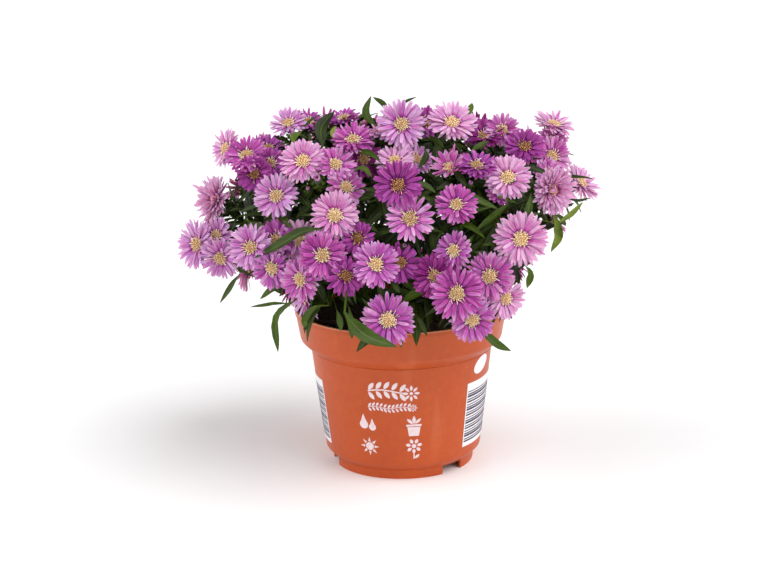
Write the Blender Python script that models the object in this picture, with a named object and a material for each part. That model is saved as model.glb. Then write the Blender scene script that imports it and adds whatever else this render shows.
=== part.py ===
"""Potted aster: a thin plastic nursery pot of compost with a bushy, many-stemmed aster in full bloom.

Metres, +Z up. The plant is built round the pot's axis. Its origin is then put under the middle of its box,
on the surface that the pot's three feet stand on.
The blooms on the side that the photograph shows lie on sight lines through its pixels, on a domed crown.
The others follow a spiral over the rest of that crown.
"""

import math

import bmesh
import bpy
import numpy as np
from mathutils import Quaternion, Vector
from mathutils.bvhtree import BVHTree

MM = 0.001

# The middle of the whole plant's box, from the pot's axis: the origin is there, on the ground
ORIGIN = Vector((-4.4 * MM, -2.1 * MM, 0))

# Pot
POT_SIDES = 32
RIM_RADIUS = 60.8 * MM
POT_HEIGHT = 92 * MM
WALL = 1.2 * MM
COLLAR_FOOT_RADIUS = 58.4 * MM
COLLAR_FOOT_HEIGHT = 74.4 * MM
BODY_TOP_RADIUS = 52.5 * MM
BODY_TOP_HEIGHT = 68.7 * MM
BODY_FOOT_RADIUS = 45.2 * MM
BODY_FOOT_HEIGHT = 9.2 * MM
FOOT_RADIUS = 40.8 * MM
FLOOR_HEIGHT = 5.2 * MM
FLOOR_RADIUS = 40.3 * MM
NOTCH_BEARINGS = (42.6, 162.6, 282.6)
NOTCH_WIDTH = 14.5 * MM
DRAIN_RADIUS = 4.0 * MM
DRAIN_CIRCLE = 27 * MM
DRAIN_COUNT = 4

# Compost
FIT_GAP = 0.4 * MM
SOIL_HEIGHT = 84 * MM
SOIL_SIDES = 18
SOIL_LUMP = 1.4 * MM

# Sight lines: where the photograph was taken from, and its scale
SIGHT_RANGE = 1.0
SIGHT_CLIMB = math.radians(14.7)
SIGHT_ROLL = math.radians(1.2)
SIGHT_TARGET = Vector((-8.3 * MM, 0, 101.1 * MM))
SIGHT_FOCAL_PX = 1731
SIGHT_CENTRE_PX = (386, 289.5)
SIGHT_BACK = Vector((0, -math.cos(SIGHT_CLIMB), math.sin(SIGHT_CLIMB)))
SIGHT_RIGHT = Vector((1, 0, 0))
SIGHT_RIGHT.rotate(Quaternion(SIGHT_BACK, -SIGHT_ROLL))
SIGHT_UP = SIGHT_BACK.cross(SIGHT_RIGHT)

# Crown of blooms
CROWN_CENTRE = Vector((-3 * MM, 2 * MM, 122 * MM))
CROWN_RADII = Vector((108 * MM, 96 * MM, 86 * MM))
CROWN_ROOT = Vector((0, 0, SOIL_HEIGHT))
LAYER = 5.5 * MM

# Each bloom that the photograph shows: pixel column and row of its disc, width in pixels,
# how far it faces right and up from the sight line in degrees, and its layer from inner to outer
BLOOMS_SEEN = (
    (289, 125, 39, -14, 42, 1), (308, 123, 33, 20, 50, -1), (247, 157, 44, -5, 35, 2),
    (228, 149, 40, -48, 10, 3), (267, 147, 36, 12, 40, -1), (270, 165, 34, 10, 8, 0),
    (255, 173, 39, -10, 0, 1), (217, 199, 46, -50, 8, 1), (277, 197, 47, -12, 8, 1),
    (303, 162, 48, -4, 20, 2), (335, 165, 43, 16, 30, 1), (361, 162, 40, 20, 14, -1),
    (345, 188, 40, 22, 12, 0), (354, 141, 44, 4, 46, 1), (344, 120, 34, -15, 62, -1),
    (382, 139, 30, -8, 72, 0), (402, 122, 51, 0, 9, 2), (424, 124, 38, 10, 32, -1),
    (450, 124, 52, 4, 38, 2), (485, 137, 42, -4, 46, 0), (502, 132, 37, -12, 22, 1),
    (525, 146, 42, -2, 33, 2), (555, 126, 42, 24, 56, 2), (548, 142, 34, 25, 10, 0),
    (552, 157, 43, 26, 3, 1), (551, 190, 50, 34, -10, 2), (550, 174, 36, 26, 12, 0),
    (580, 184, 44, 52, 34, 1), (512, 175, 48, 2, 12, 2), (476, 167, 44, 6, 50, 1),
    (448, 164, 36, -32, 34, 1), (395, 161, 40, -4, 38, 0), (415, 162, 35, 25, 28, -1),
    (398, 185, 50, 0, 4, 2), (410, 219, 50, 2, 7, 1), (333, 214, 50, -4, 0, 2),
    (456, 206, 45, 2, 26, 1), (521, 239, 56, 7, -5, 2), (455, 251, 41, -28, 6, 1),
    (495, 201, 28, 10, 25, -1), (490, 276, 51, 4, 0, 1), (457, 294, 56, 0, 0, 2),
    (502, 298, 43, 25, -8, 0), (471, 318, 47, 6, -14, 1), (434, 276, 46, -4, 0, 0),
    (400, 263, 41, 24, 0, 0), (376, 265, 49, 2, 11, 2), (360, 240, 36, -14, 6, 0),
    (346, 275, 42, 0, -17, 1), (323, 255, 48, -2, -4, 2), (303, 279, 46, -34, -6, 1),
    (272, 268, 44, -20, -16, 1), (250, 247, 47, -14, 0, 2), (277, 240, 42, -8, 4, 0),
    (298, 240, 42, -5, 4, -1), (218, 258, 45, -15, -28, 1), (198, 243, 50, -42, 0, 2),
    (221, 237, 38, -26, 10, 0), (388, 320, 55, 0, 0, 2),
)

# Blooms on the side that the photograph leaves unseen: a spiral of even spacing
SPIRAL_COUNT = 92
SPIRAL_TURN = math.pi * (3 - math.sqrt(5))
SPIRAL_LOWEST = -0.34
SKIRT_TAPER = 0.76
UNSEEN_FACING = 0.34
UNSEEN_SPACING = 1.06
TOP_SPACING = 0.92
EDGE_MARGIN = 0.9
UNSEEN_RADII = (14.6 * MM, 13.0 * MM, 14.0 * MM, 12.4 * MM)
UNSEEN_LAYERS = (2, 0, 1, 2, -1, 1)

# Blooms on the crown's top, out of the photograph's sight: millimetres right of and behind the crown's
# middle, and layer
BLOOMS_ON_TOP = ((-12, 28, 0), (40, 2, -1), (-79, 20, 0))

# The crown's outline in the photograph: pixel row, and the columns of its left and right edges there
CROWN_OUTLINE = (
    (100, 300, 560), (115, 268, 578), (135, 220, 580), (160, 212, 600), (190, 202, 603), (215, 198, 578),
    (240, 184, 542), (262, 210, 530), (282, 268, 518), (300, 286, 508), (320, 300, 500), (350, 310, 490),
)

# The crown's top edge in the photograph: pixel column, and the row of the edge there
CROWN_TOP = (
    (180, 235), (205, 178), (225, 148), (245, 132), (275, 112), (300, 109), (330, 116), (360, 114), (385, 106),
    (430, 105), (470, 112), (500, 117), (530, 124), (560, 116), (578, 130), (600, 182),
)
CROWN_TOP_MARGIN = 0.8

# Bunches: blooms that touch are one body
BUNCH_NODES = 48
BUNCH_MOST = 4
BUNCH_REACH = 1.35
BUNCH_TURN = math.radians(75)
BUNCH_SEEN_COST = 0.25

# How blooms settle: cups of different bunches stack or stand clear, and those of one bunch touch
SETTLE_ROUNDS = 160
SETTLE_STEP = 0.35
HOME_PULL = 0.16
CUP_SLOPE = 0.46
CUP_GAP = 1.8 * MM
TOUCH_NEAR = 0.50
TOUCH_FAR = 0.80
TOUCH_LEVEL = 1.0 * MM
CLOSE_ROUNDS = 24
CLOSE_STEP = 0.5 * MM

# One bloom, as shares of its radius unless in millimetres
PETALS = 10
PETALS_UNSEEN = 8
HEART = 0.31
PETAL_HALF_TURN = 0.90
PETAL_RISE = (math.radians(33), math.radians(13))
PETAL_LENGTH = (0.86, 1.0)
RIDGE_AT = 0.62
PETAL_THICK = 1.1 * MM
DISC_RISE = 2.8 * MM
DISC_SINK = 1.2 * MM
PETAL_TRIM = 0.88
PETAL_SHORTEST = 0.46
FACES_A_PETAL = 8

# Stems and their bloom stalks
OUTER_STEMS = 7
INNER_STEMS = 3
STEM_RADIUS = 1.7 * MM
STEM_TIP_RADIUS = 1.1 * MM
STEM_SIDES = 5
STEM_DEPTH = 14 * MM
STEM_STAND = 30 * MM
STEM_RUN = (0.0, 0.33, 0.66, 1.0)
OUTER_CLIMB = math.radians(34)
INNER_CLIMB = math.radians(66)
OUTER_ROOT = 22 * MM
INNER_ROOT = 9 * MM
OUTER_REACH = 56 * MM
INNER_REACH = 62 * MM
TWIG_RADIUS = 0.95 * MM
TWIG_RUN = (0.0, 0.5, 1.0)
STALK_RADIUS = 0.75 * MM
STALK_DROP = 9 * MM
STALK_SIDES = 3
CALYX_RADIUS = 2.7 * MM
CALYX_LENGTH = 7 * MM
SEAT_GAP = 0.3 * MM
CLEARANCE = 0.45 * MM

# Where a twig may leave its stem, how it may arch and sway, and where a bunch's stalks may fork
TWIG_FORKS = (0.98, 0.64, 0.86, 0.75, 0.92, 0.70, 0.81)
TWIG_ARCHES = (0.0, 10 * MM, -8 * MM, 20 * MM, 32 * MM)
TWIG_SWAYS = (0.0, 9 * MM, -9 * MM)
SPRAY_DEPTHS = (20 * MM, 15 * MM, 26 * MM)
SPRAY_SHIFTS = (0.0, 6 * MM, -6 * MM)
SIDE_FORKS = (0.86, 0.72, 0.6)
WATCH = 62 * MM
RIM_MARGIN = 5 * MM

# Leaves
LEAF_WIDTH = 7.2 * MM
LEAF_THICK = 0.9 * MM
LEAF_FOLD = 0.9 * MM
LEAF_NECK = 0.2
LEAF_LENGTHS = (38 * MM, 30 * MM, 34 * MM, 26 * MM)
LEAF_LIMIT = 70
LEAF_TRIES = 2600
LEAF_SEED = 11

# Each leaf that stands out of the crown in the photograph: pixel column and row of its root and tip,
# width in millimetres, and its layer
LEAVES_SEEN = (
    (300, 300, 277, 350, 8, 1), (294, 298, 250, 306, 6, 0), (290, 284, 260, 298, 8, 0),
    (245, 262, 220, 303, 7, 0), (352, 150, 366, 98, 7, 0), (392, 130, 373, 97, 7, 0),
    (400, 118, 416, 97, 6, -1), (340, 140, 331, 112, 9, -1), (472, 128, 471, 104, 6, -1),
    (470, 322, 509, 350, 8, 1), (345, 298, 305, 328, 7, 0), (340, 300, 396, 345, 8, 2),
    (404, 316, 426, 336, 6, 0), (545, 205, 551, 252, 8, 1), (552, 222, 582, 204, 8, 0),
    (524, 250, 529, 287, 7, 0), (318, 232, 254, 257, 9, 2), (545, 170, 574, 155, 5, 0),
    (430, 290, 402, 303, 9, 1), (380, 280, 394, 315, 7, 2), (500, 205, 470, 232, 8, 1),
)


def unit(vector):
    return vector.normalized()


def sight_line(column, row):
    """The eye and a direction of unit depth along the sight line through a pixel."""
    eye = SIGHT_TARGET + SIGHT_BACK * SIGHT_RANGE
    across = (column - SIGHT_CENTRE_PX[0]) / SIGHT_FOCAL_PX
    down = (row - SIGHT_CENTRE_PX[1]) / SIGHT_FOCAL_PX
    return eye, SIGHT_RIGHT * across - SIGHT_UP * down - SIGHT_BACK


def on_crown(column, row, layer):
    """Where a pixel's sight line meets that layer of the crown, or passes nearest to it, and the depth."""
    eye, line = sight_line(column, row)
    radii = [r + layer * LAYER for r in CROWN_RADII]
    start = Vector([(e - c) / r for e, c, r in zip(eye, CROWN_CENTRE, radii)])
    step = Vector([d / r for d, r in zip(line, radii)])
    middle = -start.dot(step) / step.length_squared
    inside = middle**2 - (start.length_squared - 1) / step.length_squared
    depth = middle - math.sqrt(max(0.0, inside))
    return eye + line * depth, depth


def within_outline(place, margin):
    """The place, moved level and then down so that the photograph would see it inside the crown's outline."""
    offset = place - SIGHT_TARGET - SIGHT_BACK * SIGHT_RANGE
    scale = SIGHT_FOCAL_PX / -offset.dot(SIGHT_BACK)
    column = SIGHT_CENTRE_PX[0] + offset.dot(SIGHT_RIGHT) * scale
    row = SIGHT_CENTRE_PX[1] - offset.dot(SIGHT_UP) * scale
    rows = [edge[0] for edge in CROWN_OUTLINE]
    left = float(np.interp(row, rows, [edge[1] for edge in CROWN_OUTLINE])) + margin * scale
    right = float(np.interp(row, rows, [edge[2] for edge in CROWN_OUTLINE])) - margin * scale
    kept = min(max(column, left), right)
    top = float(np.interp(kept, [edge[0] for edge in CROWN_TOP], [edge[1] for edge in CROWN_TOP]))
    drop = max(0, top + margin * CROWN_TOP_MARGIN * scale - row) / scale / math.cos(SIGHT_CLIMB)
    return place + SIGHT_RIGHT * ((kept - column) / scale) - Vector((0, 0, drop))


def facing(right, up):
    """The direction turned right and up from the sight line, in degrees."""
    turn, climb = math.radians(right), math.radians(up)
    return (
        SIGHT_BACK * (math.cos(turn) * math.cos(climb))
        + SIGHT_RIGHT * (math.sin(turn) * math.cos(climb))
        + SIGHT_UP * math.sin(climb)
    )


class Bloom:
    """A flower head: where its disc sits, which way it faces, its radius and its petals' lengths."""

    def __init__(self, place, face, radius, spin, petals=PETALS):
        self.place = place
        self.home = place.copy()
        self.face = unit(face)
        self.radius = radius
        self.spin = spin
        self.lengths = [1.0] * petals
        self.bunch = None
        self.joined = set()


def seen_blooms():
    blooms = []
    for index, (column, row, width, right, up, layer) in enumerate(BLOOMS_SEEN):
        place, depth = on_crown(column, row, layer)
        radius = width / 2 * depth / SIGHT_FOCAL_PX
        blooms.append(Bloom(place, facing(right, up), radius, index * SPIRAL_TURN))
    return blooms


def top_blooms():
    """The blooms placed by hand on the crown's top."""
    blooms = []
    for index, (right, behind, layer) in enumerate(BLOOMS_ON_TOP):
        way = Vector((right * MM / CROWN_RADII.x, behind * MM / CROWN_RADII.y, 0))
        way.z = math.sqrt(1 - way.length_squared)
        face = unit(Vector([w / r for w, r in zip(way, CROWN_RADII)]))
        place = CROWN_CENTRE + Vector([w * (r + layer * LAYER) for w, r in zip(way, CROWN_RADII)])
        radius = UNSEEN_RADII[index + 1]
        place = within_outline(place, radius * EDGE_MARGIN)
        blooms.append(Bloom(place, face, radius, index * SPIRAL_TURN, PETALS_UNSEEN))
    return blooms


def unseen_blooms(seen):
    """Blooms on an even spiral over the crown, kept where the photograph doesn't look."""
    blooms = top_blooms()
    for index in range(SPIRAL_COUNT):
        height = 1 - (1 - SPIRAL_LOWEST) * (index + 0.5) / SPIRAL_COUNT
        ring = math.sqrt(1 - height**2) * (1 + SKIRT_TAPER * min(0, height))
        bearing = index * SPIRAL_TURN
        way = Vector((ring * math.cos(bearing), ring * math.sin(bearing), height))
        face = unit(Vector([w / r for w, r in zip(way, CROWN_RADII)]))
        radius = UNSEEN_RADII[index % len(UNSEEN_RADII)]
        layer = UNSEEN_LAYERS[index % len(UNSEEN_LAYERS)]
        place = CROWN_CENTRE + Vector([w * (r + layer * LAYER) for w, r in zip(way, CROWN_RADII)])
        place = within_outline(place, radius * EDGE_MARGIN)
        spacing = TOP_SPACING if height > 0.7 else UNSEEN_SPACING
        crowded = any(
            (place - other.place).length < spacing * (radius + other.radius)
            for other in seen + blooms
        )
        if face.dot(SIGHT_BACK) < UNSEEN_FACING and not crowded:
            blooms.append(Bloom(place, face, radius, index * SPIRAL_TURN, PETALS_UNSEEN))
    return blooms


def gather_bunches(blooms):
    """Numbers the bunches: the nearest neighbours join first, until few enough bodies are left."""
    pairs = []
    for i, a in enumerate(blooms):
        for j in range(i + 1, len(blooms)):
            b = blooms[j]
            apart = (a.place - b.place).length / (a.radius + b.radius)
            seen = len(a.lengths) == PETALS or len(b.lengths) == PETALS
            if apart < BUNCH_REACH and a.face.angle(b.face) < BUNCH_TURN:
                pairs.append((apart + BUNCH_SEEN_COST * seen, i, j))
    bunch = list(range(len(blooms)))
    for _, i, j in sorted(pairs):
        joined = sum(b in (bunch[i], bunch[j]) for b in bunch)
        if bunch[i] != bunch[j] and joined <= BUNCH_MOST and len(set(bunch)) > BUNCH_NODES:
            old, new = bunch[j], bunch[i]
            bunch = [new if b == old else b for b in bunch]
            blooms[i].joined.add(blooms[j])
            blooms[j].joined.add(blooms[i])
    order = sorted(set(bunch), key=bunch.index)
    for bloom, number in zip(blooms, bunch):
        bloom.bunch = order.index(number)
    return len(order)


def settle(blooms):
    """Moves blooms until cups of different bunches stack or stand clear and joined ones touch."""
    place = np.array([b.place for b in blooms])
    home = place.copy()
    face = np.array([b.face for b in blooms])
    radius = np.array([b.radius for b in blooms])
    bunch = np.array([b.bunch for b in blooms])
    reach = radius[:, None] + radius[None]
    same = bunch[:, None] == bunch[None]
    axis = face[:, None] + face[None]
    axis /= np.linalg.norm(axis, axis=2, keepdims=True) + 1e-9
    other = ~np.eye(len(blooms), dtype=bool)
    joined = np.array([[b in a.joined for b in blooms] for a in blooms])
    opposed = (face @ face.T) < 0
    for _ in range(SETTLE_ROUNDS):
        gap = place[None] - place[:, None]
        along = (gap * axis).sum(2)
        side = gap - along[..., None] * axis
        wide = np.linalg.norm(side, axis=2) + 1e-9
        side /= wide[..., None]
        level = np.sign(along + 1e-9 * (np.arange(len(blooms))[None] - np.arange(len(blooms))[:, None]))
        needed = CUP_SLOPE * (reach - wide) + CUP_GAP
        short = np.where(other & ~same & ~opposed & (wide < reach), needed - np.abs(along), 0)
        short = np.maximum(short, 0)
        spread = np.maximum(reach - wide, 0)
        sideways = (spread < short) & (short > 0)
        push = np.where(sideways[..., None], side * spread[..., None], axis * (level * short)[..., None])
        push[short <= 0] = 0
        want = np.clip(wide, TOUCH_NEAR * reach, TOUCH_FAR * reach)
        push += np.where(joined[..., None], side * (want - wide)[..., None], 0)
        lean = np.clip(along, -TOUCH_LEVEL, TOUCH_LEVEL) - along
        push += np.where(joined[..., None], axis * lean[..., None], 0)
        place -= SETTLE_STEP * push.sum(1) / np.maximum(1, (np.abs(push).sum(2) > 0).sum(1))[:, None]
        place += HOME_PULL * (home - place)
    for bloom, settled in zip(blooms, place):
        bloom.place = Vector(settled)


def groups_in(blooms):
    """The members of one bunch, in groups that touch."""
    trees = [tree_of(bloom_mesh(b)) for b in blooms]
    groups = [[i] for i in range(len(blooms))]
    for i in range(len(blooms)):
        for j in range(i + 1, len(blooms)):
            mine = next(g for g in groups if i in g)
            theirs = next(g for g in groups if j in g)
            if mine is not theirs and trees[i].overlap(trees[j]):
                groups.remove(theirs)
                mine += theirs
    return [[blooms[i] for i in group] for group in groups]


def close_up(blooms):
    """Draws the members of each bunch together until they touch."""
    for number in sorted({b.bunch for b in blooms}):
        members = [b for b in blooms if b.bunch == number]
        for _ in range(CLOSE_ROUNDS):
            groups = groups_in(members)
            if len(groups) == 1:
                break
            rest = [b for group in groups[1:] for b in group]
            a, b = min(
                ((a, b) for a in groups[0] for b in rest),
                key=lambda pair: (pair[0].place - pair[1].place).length - pair[0].radius - pair[1].radius,
            )
            step = unit(b.place - a.place) * CLOSE_STEP
            a.place += step
            b.place -= step


def frame_of(face, spin):
    """Two directions square to a face, turned by spin."""
    east = unit(Vector((0, 0, 1)).cross(face)) if abs(face.z) < 0.99 else Vector((1, 0, 0))
    north = face.cross(east)
    return (
        east * math.cos(spin) + north * math.sin(spin),
        north * math.cos(spin) - east * math.sin(spin),
    )


def bloom_mesh(bloom, grow=0.0):
    """A closed flower head: lens-shaped petals, raised and low in turn, round a coned disc."""
    east, north = frame_of(bloom.face, bloom.spin)

    def point(turn, out, rise):
        return bloom.place + (east * math.cos(turn) + north * math.sin(turn)) * out + bloom.face * rise

    count = len(bloom.lengths)
    sector = 2 * math.pi / count
    heart = bloom.radius * HEART
    points = [point(0, 0, DISC_RISE + grow), point(0, 0, -DISC_SINK - grow)]
    faces = []
    for i in range(count):
        points.append(point(i * sector, heart, 0))
    for i in range(count):
        rise = PETAL_RISE[i % 2]
        length = bloom.radius * PETAL_LENGTH[i % 2] * bloom.lengths[i] + grow
        middle = (i + 0.5) * sector
        half = PETAL_HALF_TURN * sector / 2
        out, up = length * math.cos(rise), length * math.sin(rise)
        ridge = heart + (out - heart) * RIDGE_AT
        lift = up * RIDGE_AT + PETAL_THICK + grow
        base = len(points)
        points += [point(middle - half, out, up), point(middle + half, out, up), point(middle, ridge, lift)]
        left, right, top = base, base + 1, base + 2
        near, far = 2 + i, 2 + (i + 1) % count
        faces += [(0, near, top), (0, top, far), (near, left, top), (left, right, top), (right, far, top)]
        faces += [(1, far, near), (near, far, right), (near, right, left)]
    return points, faces


def tree_of(mesh):
    return BVHTree.FromPolygons([tuple(p) for p in mesh[0]], mesh[1])


def trim_petals(blooms, others=(), rounds=12):
    """Shortens each petal that would cross another bunch, or a green part that isn't its own stalk."""
    obstacles = [(tree_of(mesh), owner) for mesh, owner in others]
    for _ in range(rounds):
        plain = [tree_of(bloom_mesh(b)) for b in blooms]
        grown = [tree_of(bloom_mesh(b, CLEARANCE)) for b in blooms]
        crossing = set()
        for i, a in enumerate(blooms):
            for j, b in enumerate(blooms):
                if i == j or a.bunch == b.bunch or (a.place - b.place).length > 1.1 * (a.radius + b.radius):
                    continue
                crossing |= {(i, hit[0] // FACES_A_PETAL) for hit in grown[i].overlap(plain[j])}
            for obstacle, owner in obstacles:
                if owner is not a:
                    crossing |= {(i, hit[0] // FACES_A_PETAL) for hit in grown[i].overlap(obstacle)}
        for i, petal in crossing:
            lengths = blooms[i].lengths
            lengths[petal] = max(PETAL_SHORTEST, lengths[petal] * PETAL_TRIM)
        if not crossing:
            break
    return len(crossing)


def bezier(a, b, c, d, t):
    s = 1 - t
    return a * s**3 + b * (3 * s * s * t) + c * (3 * s * t * t) + d * t**3


def along(path, share):
    """The point at a share of a path, counted in its stretches."""
    spot = min(share, 0.9999) * (len(path) - 1)
    return path[int(spot)].lerp(path[int(spot) + 1], spot - int(spot))


def tube(path, radii, sides):
    """A closed tube through the points of a path, with a radius at each."""
    points, faces = [], []
    across = None
    for i, place in enumerate(path):
        along = unit(path[min(i + 1, len(path) - 1)] - path[max(i - 1, 0)])
        if across is None:
            across = along.orthogonal()
        across = unit(across - along * across.dot(along))
        other = along.cross(across)
        for k in range(sides):
            turn = 2 * math.pi * k / sides
            points.append(place + (across * math.cos(turn) + other * math.sin(turn)) * radii[i])
    for i in range(len(path) - 1):
        for k in range(sides):
            a, b = i * sides + k, i * sides + (k + 1) % sides
            faces += [(a, b, b + sides), (a, b + sides, a + sides)]
    last = (len(path) - 1) * sides
    for k in range(1, sides - 1):
        faces += [(0, k + 1, k), (last, last + k, last + k + 1)]
    return points, faces


class Stem:
    """A main stem: its root, its lean, its path, and the closed meshes fused into its body."""

    def __init__(self, bearing, root, climb, reach):
        out = Vector((math.cos(bearing), math.sin(bearing), 0))
        self.lean = out * math.cos(climb) + Vector((0, 0, math.sin(climb)))
        start = out * root + Vector((0, 0, SOIL_HEIGHT - STEM_DEPTH))
        foot = start + Vector((0, 0, STEM_DEPTH + 4 * MM))
        stand = foot + Vector((0, 0, STEM_STAND))
        fork = CROWN_ROOT + self.lean * reach + out * root
        self.root = start
        self.path = [start]
        self.path += [bezier(foot, (foot + stand) / 2, stand.lerp(fork, 0.35), fork, t) for t in STEM_RUN]
        radii = np.linspace(STEM_RADIUS, STEM_TIP_RADIUS, len(self.path))
        self.parts = [tube(self.path, radii, STEM_SIDES)]
        self.trees = [tree_of(tube(self.path, radii + CLEARANCE, STEM_SIDES))]
        self.leaves = []
        self.leaf_trees = []
        self.lines = []
        self.stalks = []
        self.twigs = []

    def at(self, share):
        return along(self.path, share)


def main_stems():
    stems = []
    for k in range(OUTER_STEMS):
        bearing = 2 * math.pi * (k + 0.5) / OUTER_STEMS
        stems.append(Stem(bearing, OUTER_ROOT, OUTER_CLIMB, OUTER_REACH))
    for k in range(INNER_STEMS):
        bearing = 2 * math.pi * (k + 0.25) / INNER_STEMS
        stems.append(Stem(bearing, INNER_ROOT, INNER_CLIMB, INNER_REACH))
    return stems


class Spray:
    """The green part under one bunch: a fork, a stalk from it to each bloom, and the twig that carries it."""

    def __init__(self, blooms):
        self.blooms = blooms
        self.face = unit(sum((b.face for b in blooms), Vector()))
        self.middle = sum((b.place for b in blooms), Vector()) / len(blooms)
        self.fork = None

    def forks(self):
        """Places for the fork, under the middle of the bunch and to each side of that."""
        back = unit(self.face + unit(self.middle - CROWN_ROOT) * 0.6)
        east, north = frame_of(back, 0)
        for depth in SPRAY_DEPTHS:
            for a in SPRAY_SHIFTS:
                for b in SPRAY_SHIFTS:
                    yield self.middle - back * depth + east * a + north * b

    def lines(self, path, tail=0):
        """The twig, which runs on into the straightest bloom's stalk, and the other stalks off it, as points."""
        heading = path[-1] - path[-2]
        order = sorted(self.blooms, key=lambda b: heading.angle(b.place - b.face * 8 * MM - path[-1]))
        made = [(order[0], stalk_line(order[0], path[tail:]))]
        for k, bloom in enumerate(order[1:]):
            made.append((bloom, stalk_line(bloom, [along(path, SIDE_FORKS[k])])))
        return made

    def stalks(self, path, grow=0.0, tail=0):
        return [(bloom, stalk_tube(line, grow)) for bloom, line in self.lines(path, tail)]


def stalk_line(bloom, path):
    """The points of a stalk that follows the path to under the bloom and ends in its calyx."""
    seat = bloom.place - bloom.face * (DISC_SINK + SEAT_GAP)
    return path + [seat - bloom.face * CALYX_LENGTH, seat]


def stalk_tube(line, grow=0.0):
    radii = [TWIG_RADIUS] * (len(line) - 2) + [STALK_RADIUS, CALYX_RADIUS]
    return tube(line, [radius + grow for radius in radii], STALK_SIDES)


def twig_path(spray, stem, fork, arch, sway):
    """A twig's points, from its place on the stem to the spray's fork."""
    start = stem.at(fork)
    aside = unit(stem.lean.cross(spray.fork - start) + Vector((0, 0, 1e-6)))
    lead = start + (spray.fork - start) * 0.35 + Vector((0, 0, arch)) + aside * sway
    end = spray.fork - unit(spray.middle - CROWN_ROOT) * STALK_DROP + Vector((0, 0, arch * 0.5))
    return [bezier(start, lead, end, spray.fork, share) for share in TWIG_RUN]


def meets_pot(path):
    """Whether a path passes through the pot's rim or wall, or into the compost."""
    for i in range(13):
        p = along(path, i / 12)
        across = math.hypot(p.x, p.y)
        if BODY_TOP_RADIUS - RIM_MARGIN < across < RIM_RADIUS + RIM_MARGIN and p.z < POT_HEIGHT + 3 * MM:
            return True
        if across <= BODY_TOP_RADIUS - RIM_MARGIN and p.z < SOIL_HEIGHT + 4 * MM:
            return True
    return False


def crosses(mesh, trees):
    tree = tree_of(mesh)
    return sum(1 for other in trees if tree.overlap(other))


def routes(spray, stems):
    """Every way for a twig to reach a spray, the stems that lean most its way first."""
    way = unit(spray.middle - CROWN_ROOT)
    near = sorted(stems, key=lambda stem: -stem.lean.dot(way))[:3]
    for rank, stem in enumerate(near):
        first = len(stem.twigs) % len(TWIG_FORKS)
        for fork in TWIG_FORKS[first:] + TWIG_FORKS[:first]:
            for arch in TWIG_ARCHES:
                for sway in TWIG_SWAYS:
                    path = twig_path(spray, stem, fork, arch, sway)
                    if not meets_pot(path):
                        yield rank, stem, path


def choose_fork(spray, heads):
    """Takes the first fork with a clear way from it to each of its blooms, or else the least crossed."""
    best = None
    for fork in spray.forks():
        spray.fork = fork
        hits = 0
        for bloom in spray.blooms:
            mesh = stalk_tube(stalk_line(bloom, [fork]), CLEARANCE)
            hits += crosses(mesh, [t for b, t in heads if b is not bloom])
        if best is None or hits < best[0]:
            best = (hits, fork)
        if hits == 0:
            break
    spray.fork = best[1]


def route_cost(spray, stem, path, stems, heads):
    """How many other stems, then blooms, then parts of its own stem a spray on this path crosses."""
    rivals = [tree for other in stems if other is not stem for tree in other.trees]
    cost = [0, 0, 0]
    for bloom, mesh in spray.stalks(path, CLEARANCE):
        cost[0] += crosses(mesh, rivals)
        cost[1] += crosses(mesh, [tree for other, tree in heads if other is not bloom])
    for _, mesh in spray.stalks(path, CLEARANCE, tail=1):
        cost[2] += crosses(mesh, stem.trees)
    return cost


def grow_sprays(stems, sprays, blooms):
    """Gives each spray its fork and a twig, on the clearest route."""
    heads = [(b, tree_of(bloom_mesh(b))) for b in blooms]
    for spray in sorted(sprays, key=lambda spray: spray.middle.z):
        close = [(b, t) for b, t in heads if (b.place - spray.middle).length < WATCH]
        choose_fork(spray, close)
        best = None
        for rank, stem, path in routes(spray, stems):
            cost = route_cost(spray, stem, path, stems, close) + [rank]
            if best is None or cost < best[0]:
                best = (cost, stem, path)
            if sum(cost[:3]) == 0:
                break
        _, stem, path = best
        stem.lines += spray.lines(path)
        stem.stalks += spray.stalks(path)
        stem.parts += [mesh for _, mesh in spray.stalks(path)]
        stem.trees += [tree_of(mesh) for _, mesh in spray.stalks(path, CLEARANCE)]
        stem.twigs.append(path)


def leaf_mesh(root, tip, width, normal, droop, grow=0.0):
    """A lance-shaped blade, folded along its midrib, as a closed lens: root, two shoulders a side, tip."""
    along = tip - root
    side = unit(along.cross(normal))
    up = unit(side.cross(along))
    half = width / 2 + grow
    thick = LEAF_THICK / 2 + grow

    def point(share, across, rise):
        bow = droop * 4 * share * (1 - share)
        return root + along * share + side * across + up * (bow + rise)

    points = [
        point(0, 0, 0), point(0.30, -half * 0.85, LEAF_FOLD), point(0.66, -half * 0.72, LEAF_FOLD),
        point(1 + grow / along.length, 0, 0), point(0.66, half * 0.72, LEAF_FOLD),
        point(0.30, half * 0.85, LEAF_FOLD), point(0.45, 0, thick), point(0.45, 0, -thick),
    ]
    faces = []
    for i in range(6):
        j = (i + 1) % 6
        faces += [(i, 6, j), (i, j, 7)]
    return points, faces


def nearest_hold(stems, target, most):
    """The point on any stem or stalk that a leaf tip can be reached from, and its stem."""
    holds = []
    for stem in stems:
        for i in range(6, 12):
            holds.append((stem.at(i / 11), stem))
        for path in stem.twigs:
            for i in range(1, 7):
                holds.append((along(path, i / 6.5), stem))
    holds.sort(key=lambda hold: (hold[0] - target).length)
    return [h for h in holds if (h[0] - target).length < most]


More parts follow.
